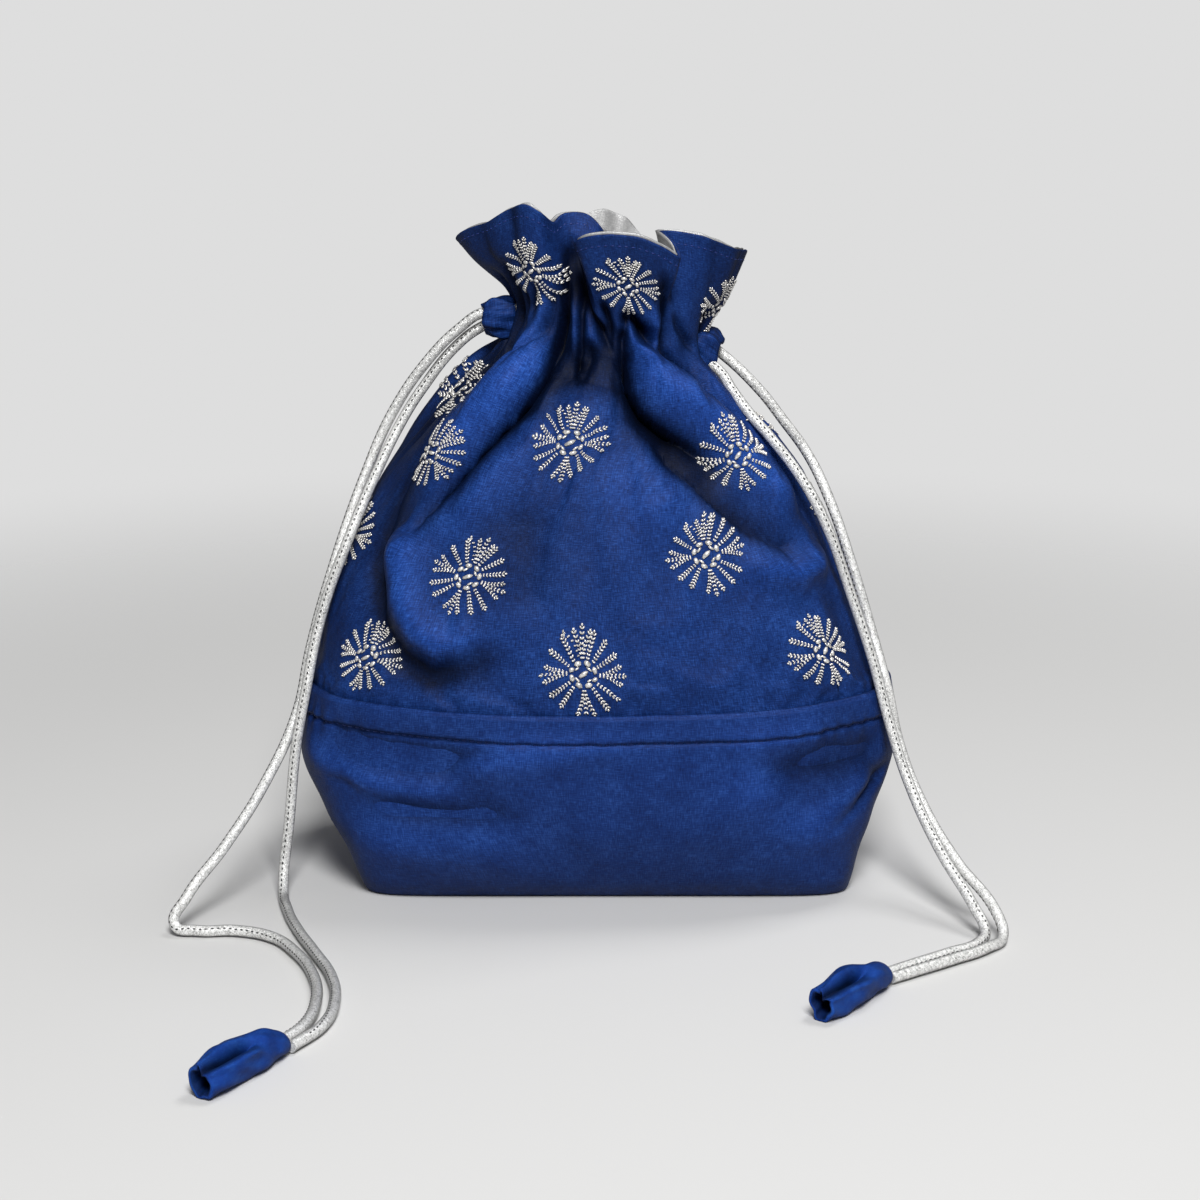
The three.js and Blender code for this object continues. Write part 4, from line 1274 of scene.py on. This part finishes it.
def new_material(name):
    """A material with its nodes, its links and its Principled shader."""
    material = bpy.data.materials.new(name)
    material.use_nodes = True
    nodes = material.node_tree.nodes
    return material, nodes, material.node_tree.links, nodes["Principled BSDF"]


def node(nodes, kind, **settings):
    """A node with some inputs or properties set by name."""
    made = nodes.new(kind)
    for key, value in settings.items():
        if key in made.inputs:
            made.inputs[key].default_value = value
        else:
            setattr(made, key, value)
    return made


def linear(red, green, blue):
    """A colour given as sRGB from 0 to 255."""
    return tuple(
        c / 12.92 if c <= 0.04045 else ((c + 0.055) / 1.055) ** 2.4
        for c in (red / 255, green / 255, blue / 255)
    ) + (1,)


def ramp(nodes, stops):
    """A colour ramp from a list of places and colours."""
    made = nodes.new("ShaderNodeValToRGB")
    ramp_data = made.color_ramp
    while len(ramp_data.elements) < len(stops):
        ramp_data.elements.new(0.5)
    for element, (place, colour) in zip(ramp_data.elements, stops):
        element.position = place
        element.color = colour
    return made


# %% [markdown]
# A plain weave with uneven threads. Wave textures would give two perfect sets of threads, which
# silk doesn't have. Noise stretched along each thread direction gives threads that swell and
# thin out, and the mean of both directions is the weave. One group holds it for every cloth.

# %% Weave group


def new_group(name, inputs, outputs):
    """A shader node group with named sockets, and its input and output nodes."""
    group = bpy.data.node_groups.new(name, "ShaderNodeTree")
    for way, sockets in (("INPUT", inputs), ("OUTPUT", outputs)):
        for socket, kind in sockets.items():
            group.interface.new_socket(socket, in_out=way, socket_type="NodeSocket" + kind)
    return group, group.nodes.new("NodeGroupInput"), group.nodes.new("NodeGroupOutput")


weave, weave_in, weave_out = new_group(
    "silk weave", {"Vector": "Vector"}, {"Height": "Float", "Slub": "Float"})
THREAD_SCALES = ((380, 3600, 380), (3600, 340, 3600))  # noise cells in a metre, each way
slubs = []
for scale in THREAD_SCALES:
    stretch = node(weave.nodes, "ShaderNodeVectorMath", operation="MULTIPLY")
    stretch.inputs[1].default_value = scale
    noise = node(weave.nodes, "ShaderNodeTexNoise", Scale=1.0, Detail=3.0, Roughness=0.6)
    weave.links.new(weave_in.outputs["Vector"], stretch.inputs[0])
    weave.links.new(stretch.outputs[0], noise.inputs["Vector"])
    slubs.append(noise)
both = node(weave.nodes, "ShaderNodeMath", operation="ADD")
half = node(weave.nodes, "ShaderNodeMath", operation="MULTIPLY")
half.inputs[1].default_value = 0.5
weave.links.new(slubs[0].outputs["Fac"], both.inputs[0])
weave.links.new(slubs[1].outputs["Fac"], both.inputs[1])
weave.links.new(both.outputs[0], half.inputs[0])
weave.links.new(half.outputs[0], weave_out.inputs["Slub"])
weave.links.new(half.outputs[0], weave_out.inputs["Height"])
print("weave nodes", len(weave.nodes))

# %% [markdown]
# Silk from that weave. Deep in a fold little light comes in. The drawn folds are shallower than
# the real ones, so the colour is darkened as well, by the fold mark that each corner carries: this
# is painted shade, and the crests get painted highlight, brighter than the cloth's own colour. The
# colour is also lightened a little where the cloth faces the camera and darkened where it turns
# away, by a facing weight: painted highlight and painted shade. A bump of broad creases lies under
# the bump of the threads.

# %% Silk


def grey(value):
    return (value, value, value, 1)


# painted shade and highlight: how much of the colour is left, or added, from deep in a fold to its
# crest, and from facing to turned away
FOLD_SHADE_AND_HIGHLIGHT = [(0.0, grey(0.03)), (0.36, grey(0.17)), (0.62, grey(0.86)), (1.0, grey(1.6))]
FOLD_SPAN = (-8.0, 5.0)  # millimetres in and out that the shade covers
PAINTED_FACING_SHADE = [(0.08, grey(1.12)), (0.35, grey(0.95)), (0.75, (0.45, 0.45, 0.46, 1))]
THREAD_SHARE = 0.75
BROAD_CREASE, FINE_THREAD = 0.0016, 0.0003  # heights of the bumps in metres


def place_group(nodes, group):
    """A group set into a material."""
    placed = nodes.new("ShaderNodeGroup")
    placed.node_tree = group
    return placed


def multiply(nodes, links, first, second):
    """One colour darkened or brightened by another."""
    product = node(nodes, "ShaderNodeMix", data_type="RGBA", blend_type="MULTIPLY")
    product.inputs["Factor"].default_value = 1.0
    links.new(first, product.inputs["A"])
    links.new(second, product.inputs["B"])
    return product.outputs["Result"]


# painted shade deep in the folds and painted highlight on the crests, multiplied into the colour
fold_shade, shade_in, shade_out = new_group(
    "painted fold shade and highlight", {"Color": "Color", "Fold": "Float"}, {"Color": "Color"})
in_span = node(fold_shade.nodes, "ShaderNodeMapRange")
in_span.inputs["From Min"].default_value, in_span.inputs["From Max"].default_value = FOLD_SPAN
fold_ramp = ramp(fold_shade.nodes, FOLD_SHADE_AND_HIGHLIGHT)
fold_shade.links.new(shade_in.outputs["Fold"], in_span.inputs["Value"])
fold_shade.links.new(in_span.outputs["Result"], fold_ramp.inputs["Fac"])
fold_shaded = multiply(
    fold_shade.nodes, fold_shade.links, shade_in.outputs["Color"], fold_ramp.outputs["Color"])
fold_shade.links.new(fold_shaded, shade_out.inputs["Color"])

relief, relief_in, relief_out = new_group(
    "silk relief", {"Vector": "Vector", "Threads": "Float"}, {"Normal": "Vector"})
creases = node(relief.nodes, "ShaderNodeTexNoise", Scale=75.0, Detail=5.0, Roughness=0.5,
               Distortion=0.3)
broad = node(relief.nodes, "ShaderNodeBump", Strength=0.35, Distance=BROAD_CREASE)
fine = node(relief.nodes, "ShaderNodeBump", Strength=0.7, Distance=FINE_THREAD)
relief.links.new(relief_in.outputs["Vector"], creases.inputs["Vector"])
relief.links.new(creases.outputs["Fac"], broad.inputs["Height"])
relief.links.new(relief_in.outputs["Threads"], fine.inputs["Height"])
relief.links.new(broad.outputs["Normal"], fine.inputs["Normal"])
relief.links.new(fine.outputs["Normal"], relief_out.inputs["Normal"])


def silk(name, dark, mid, light, mottle_scale, sheen=0.08, roughness=0.55, metallic=0.0):
    """Woven silk: mottled colour, slubs, sheen and fine creasing, with painted shade in the folds and
    where the cloth turns away, and painted highlight on the crests and where it faces the camera.
    """
    material, nodes, links, shader = new_material(name)
    uv = node(nodes, "ShaderNodeUVMap", uv_map="cloth")
    place = node(nodes, "ShaderNodeTexCoord")
    threads = place_group(nodes, weave)
    links.new(uv.outputs["UV"], threads.inputs["Vector"])
    mottle = node(nodes, "ShaderNodeTexNoise", Scale=mottle_scale, Detail=6.0, Roughness=0.7)
    links.new(place.outputs["Object"], mottle.inputs["Vector"])
    blend = node(nodes, "ShaderNodeMix", data_type="FLOAT")
    blend.inputs["Factor"].default_value = THREAD_SHARE
    links.new(mottle.outputs["Fac"], blend.inputs["A"])
    links.new(threads.outputs["Slub"], blend.inputs["B"])
    tones = ramp(nodes, [(0.33, dark), (0.5, mid), (0.67, light)])
    links.new(blend.outputs["Result"], tones.inputs["Fac"])
    fold = node(nodes, "ShaderNodeAttribute", attribute_name="fold")
    shaded = place_group(nodes, fold_shade)
    links.new(tones.outputs["Color"], shaded.inputs["Color"])
    links.new(fold.outputs["Fac"], shaded.inputs["Fold"])
    # painted shade where the cloth turns away from the camera, and a little painted highlight where it
    # faces it
    facing = node(nodes, "ShaderNodeLayerWeight", Blend=0.5)
    satin = ramp(nodes, PAINTED_FACING_SHADE)
    links.new(facing.outputs["Facing"], satin.inputs["Fac"])
    turned = multiply(nodes, links, shaded.outputs["Color"], satin.outputs["Color"])
    links.new(turned, shader.inputs["Base Color"])
    surface = place_group(nodes, relief)
    links.new(place.outputs["Object"], surface.inputs["Vector"])
    links.new(threads.outputs["Height"], surface.inputs["Threads"])
    links.new(surface.outputs["Normal"], shader.inputs["Normal"])
    shader.inputs["Roughness"].default_value = roughness
    shader.inputs["Metallic"].default_value = metallic
    shader.inputs["Sheen Weight"].default_value = sheen
    shader.inputs["Sheen Roughness"].default_value = 0.35
    shader.inputs["Sheen Tint"].default_value = light
    shader.inputs["Specular IOR Level"].default_value = 0.1
    return material


blue_silk = silk(
    "embroidered blue silk", linear(6, 18, 52), linear(20, 49, 110), linear(46, 88, 168), 60.0)
panel_silk = silk(
    "panel blue silk", linear(9, 24, 70), linear(22, 51, 114), linear(46, 84, 160), 90.0)
pod_silk = silk(
    "pod blue silk", linear(3, 18, 70), linear(18, 62, 150), linear(60, 124, 215), 130.0)
lining_silk = silk(
    "silver lining", linear(150, 150, 152), linear(188, 188, 188), linear(222, 222, 220), 60.0,
    sheen=0.1, roughness=0.38, metallic=0.25)
print("silks", [material.name for material in (blue_silk, panel_silk, pod_silk, lining_silk)])

# %% [markdown]
# Thread and cord. The embroidery is metal thread, the hems are sewn in blue, and the cords' seams
# in dark grey. Full metal would only mirror the plain surround and look dull, so the silver is
# partly metallic. The cords' coating is crackled, which fine noise on a steep colour ramp gives,
# and its colour is darkened towards the cord's sides by a facing weight, as painted shade.

# %% Thread and cord finishes

def thread_material(name, colour, metallic, roughness):
    """Twisted thread: a little darker and lighter along its length, with a fine twist."""
    material, nodes, links, shader = new_material(name)
    place = node(nodes, "ShaderNodeTexCoord")
    speckle = node(nodes, "ShaderNodeTexNoise", Scale=900.0, Detail=2.0)
    links.new(place.outputs["Object"], speckle.inputs["Vector"])
    dark = tuple(c * 0.5 for c in colour[:3]) + (1,)
    tones = ramp(nodes, [(0.3, dark), (0.6, colour)])
    links.new(speckle.outputs["Fac"], tones.inputs["Fac"])
    links.new(tones.outputs["Color"], shader.inputs["Base Color"])
    twist = node(nodes, "ShaderNodeBump", Strength=0.4, Distance=0.0002)
    links.new(speckle.outputs["Fac"], twist.inputs["Height"])
    links.new(twist.outputs["Normal"], shader.inputs["Normal"])
    shader.inputs["Metallic"].default_value = metallic
    shader.inputs["Roughness"].default_value = roughness
    return material


silver_thread = thread_material("silver thread", linear(250, 247, 242), 0.45, 0.26)
blue_thread = thread_material("blue thread", linear(24, 50, 130), 0.0, 0.5)
seam_thread = thread_material("cord seam thread", linear(46, 46, 48), 0.0, 0.6)


def coated_cord():
    """Silver coating on a cord: bright crackled foil, with painted shade towards the cord's sides."""
    material, nodes, links, shader = new_material("silver coated cord")
    place = node(nodes, "ShaderNodeTexCoord")
    crackle = node(nodes, "ShaderNodeTexNoise", Scale=1300.0, Detail=3.0, Roughness=0.7, Distortion=1.0)
    links.new(place.outputs["Object"], crackle.inputs["Vector"])
    foil = ramp(nodes, [
        (0.34, linear(150, 150, 148)), (0.46, linear(216, 216, 214)), (0.6, linear(252, 252, 250)),
    ])
    links.new(crackle.outputs["Fac"], foil.inputs["Fac"])
    # painted shade: the coating's colour darkens where the cord turns away from the camera
    facing = node(nodes, "ShaderNodeLayerWeight", Blend=0.5)
    sides = ramp(nodes, [(0.4, linear(255, 255, 255)), (0.95, linear(120, 120, 122))])
    links.new(facing.outputs["Facing"], sides.inputs["Fac"])
    shaded = multiply(nodes, links, foil.outputs["Color"], sides.outputs["Color"])
    links.new(shaded, shader.inputs["Base Color"])
    bump = node(nodes, "ShaderNodeBump", Strength=0.8, Distance=0.0004)
    links.new(crackle.outputs["Fac"], bump.inputs["Height"])
    links.new(bump.outputs["Normal"], shader.inputs["Normal"])
    shader.inputs["Metallic"].default_value = 0.25
    shader.inputs["Roughness"].default_value = 0.28
    return material


silver_cord = coated_cord()


def dress(pieces, material):
    """Gives each piece one material."""
    for piece in pieces:
        piece.data.materials.clear()
        piece.data.materials.append(material)


dress([upper_cloth, *casing_ends], blue_silk)
dress([panel], panel_silk)
dress(pods, pod_silk)
dress([lining], lining_silk)
dress(wheels, silver_thread)
dress([hem_stitches, rim_stitches], blue_thread)
dress(cord_stitches, seam_thread)
dress([*cords.values(), *casing_runs], silver_cord)
print("materials", len(bpy.data.materials))

# %% [markdown]
# A pale table in a plain pale surround. A curved backdrop is the usual way, but its bend could
# show, so the table is a flat disc that fades out into the surround's colour. The main light
# stands high in front, a little to the right, and a weak one high at the right lifts the rim.
# The surround that the camera sees is brighter than the one that lights the bag.

# %% Stage and lights
SEEN_SURROUND, LIT_SURROUND = grey(0.73), 0.15
TABLE_COLOUR, TABLE_RADIUS = (0.62, 0.618, 0.612, 1), 3.0
FADE_START, FADE_END = 0.22, 0.75  # metres from the bag's middle
table_work = bmesh.new()
bmesh.ops.create_circle(table_work, cap_ends=True, segments=96, radius=TABLE_RADIUS)
floor_mesh = bpy.data.meshes.new("floor")
table_work.to_mesh(floor_mesh)
table_work.free()
floor = bpy.data.objects.new("floor", floor_mesh)
bpy.context.scene.collection.objects.link(floor)
floor_material, nodes, links, shader = new_material("pale table")
shader.inputs["Base Color"].default_value = TABLE_COLOUR
shader.inputs["Roughness"].default_value = 0.9
shader.inputs["Specular IOR Level"].default_value = 0.1
place = node(nodes, "ShaderNodeTexCoord")
distance = node(nodes, "ShaderNodeVectorMath", operation="LENGTH")
fade = node(nodes, "ShaderNodeMapRange", interpolation_type="SMOOTHSTEP")
fade.inputs["From Min"].default_value = FADE_START
fade.inputs["From Max"].default_value = FADE_END
clear = nodes.new("ShaderNodeBsdfTransparent")
far_away = nodes.new("ShaderNodeMixShader")
links.new(place.outputs["Object"], distance.inputs[0])
links.new(distance.outputs["Value"], fade.inputs["Value"])
links.new(fade.outputs["Result"], far_away.inputs["Fac"])
links.new(shader.outputs[0], far_away.inputs[1])
links.new(clear.outputs[0], far_away.inputs[2])
links.new(far_away.outputs[0], nodes["Material Output"].inputs["Surface"])
dress([floor], floor_material)

world = bpy.data.worlds.new("surround")
bpy.context.scene.world = world
world.use_nodes = True
nodes, links = world.node_tree.nodes, world.node_tree.links
seen = nodes["Background"]
seen.inputs["Color"].default_value = SEEN_SURROUND
seen.inputs["Strength"].default_value = 1.0
lit = nodes.new("ShaderNodeBackground")
lit.inputs["Color"].default_value = (1, 1, 1, 1)
lit.inputs["Strength"].default_value = LIT_SURROUND
path = nodes.new("ShaderNodeLightPath")
mix = nodes.new("ShaderNodeMixShader")
links.new(path.outputs["Is Camera Ray"], mix.inputs["Fac"])
links.new(lit.outputs[0], mix.inputs[1])
links.new(seen.outputs[0], mix.inputs[2])
links.new(mix.outputs[0], nodes["World Output"].inputs["Surface"])


def area_light(name, place, aim, size, power):
    """A square light of a size in metres and a power in watts, aimed at a point."""
    data = bpy.data.lights.new(name, "AREA")
    data.size = size
    data.energy = power
    light = bpy.data.objects.new(name, data)
    light.location = place
    light.rotation_euler = (Vector(aim) - Vector(place)).to_track_quat("-Z", "Y").to_euler()
    bpy.context.scene.collection.objects.link(light)
    print(name, "light", size, "m", power, "W")


area_light("key", (0.12, -1.15, 1.3), (0, 0, 0.1), 0.5, 29)
area_light("top", (0.4, 0.2, 1.2), (0, 0, 0.05), 0.4, 5)
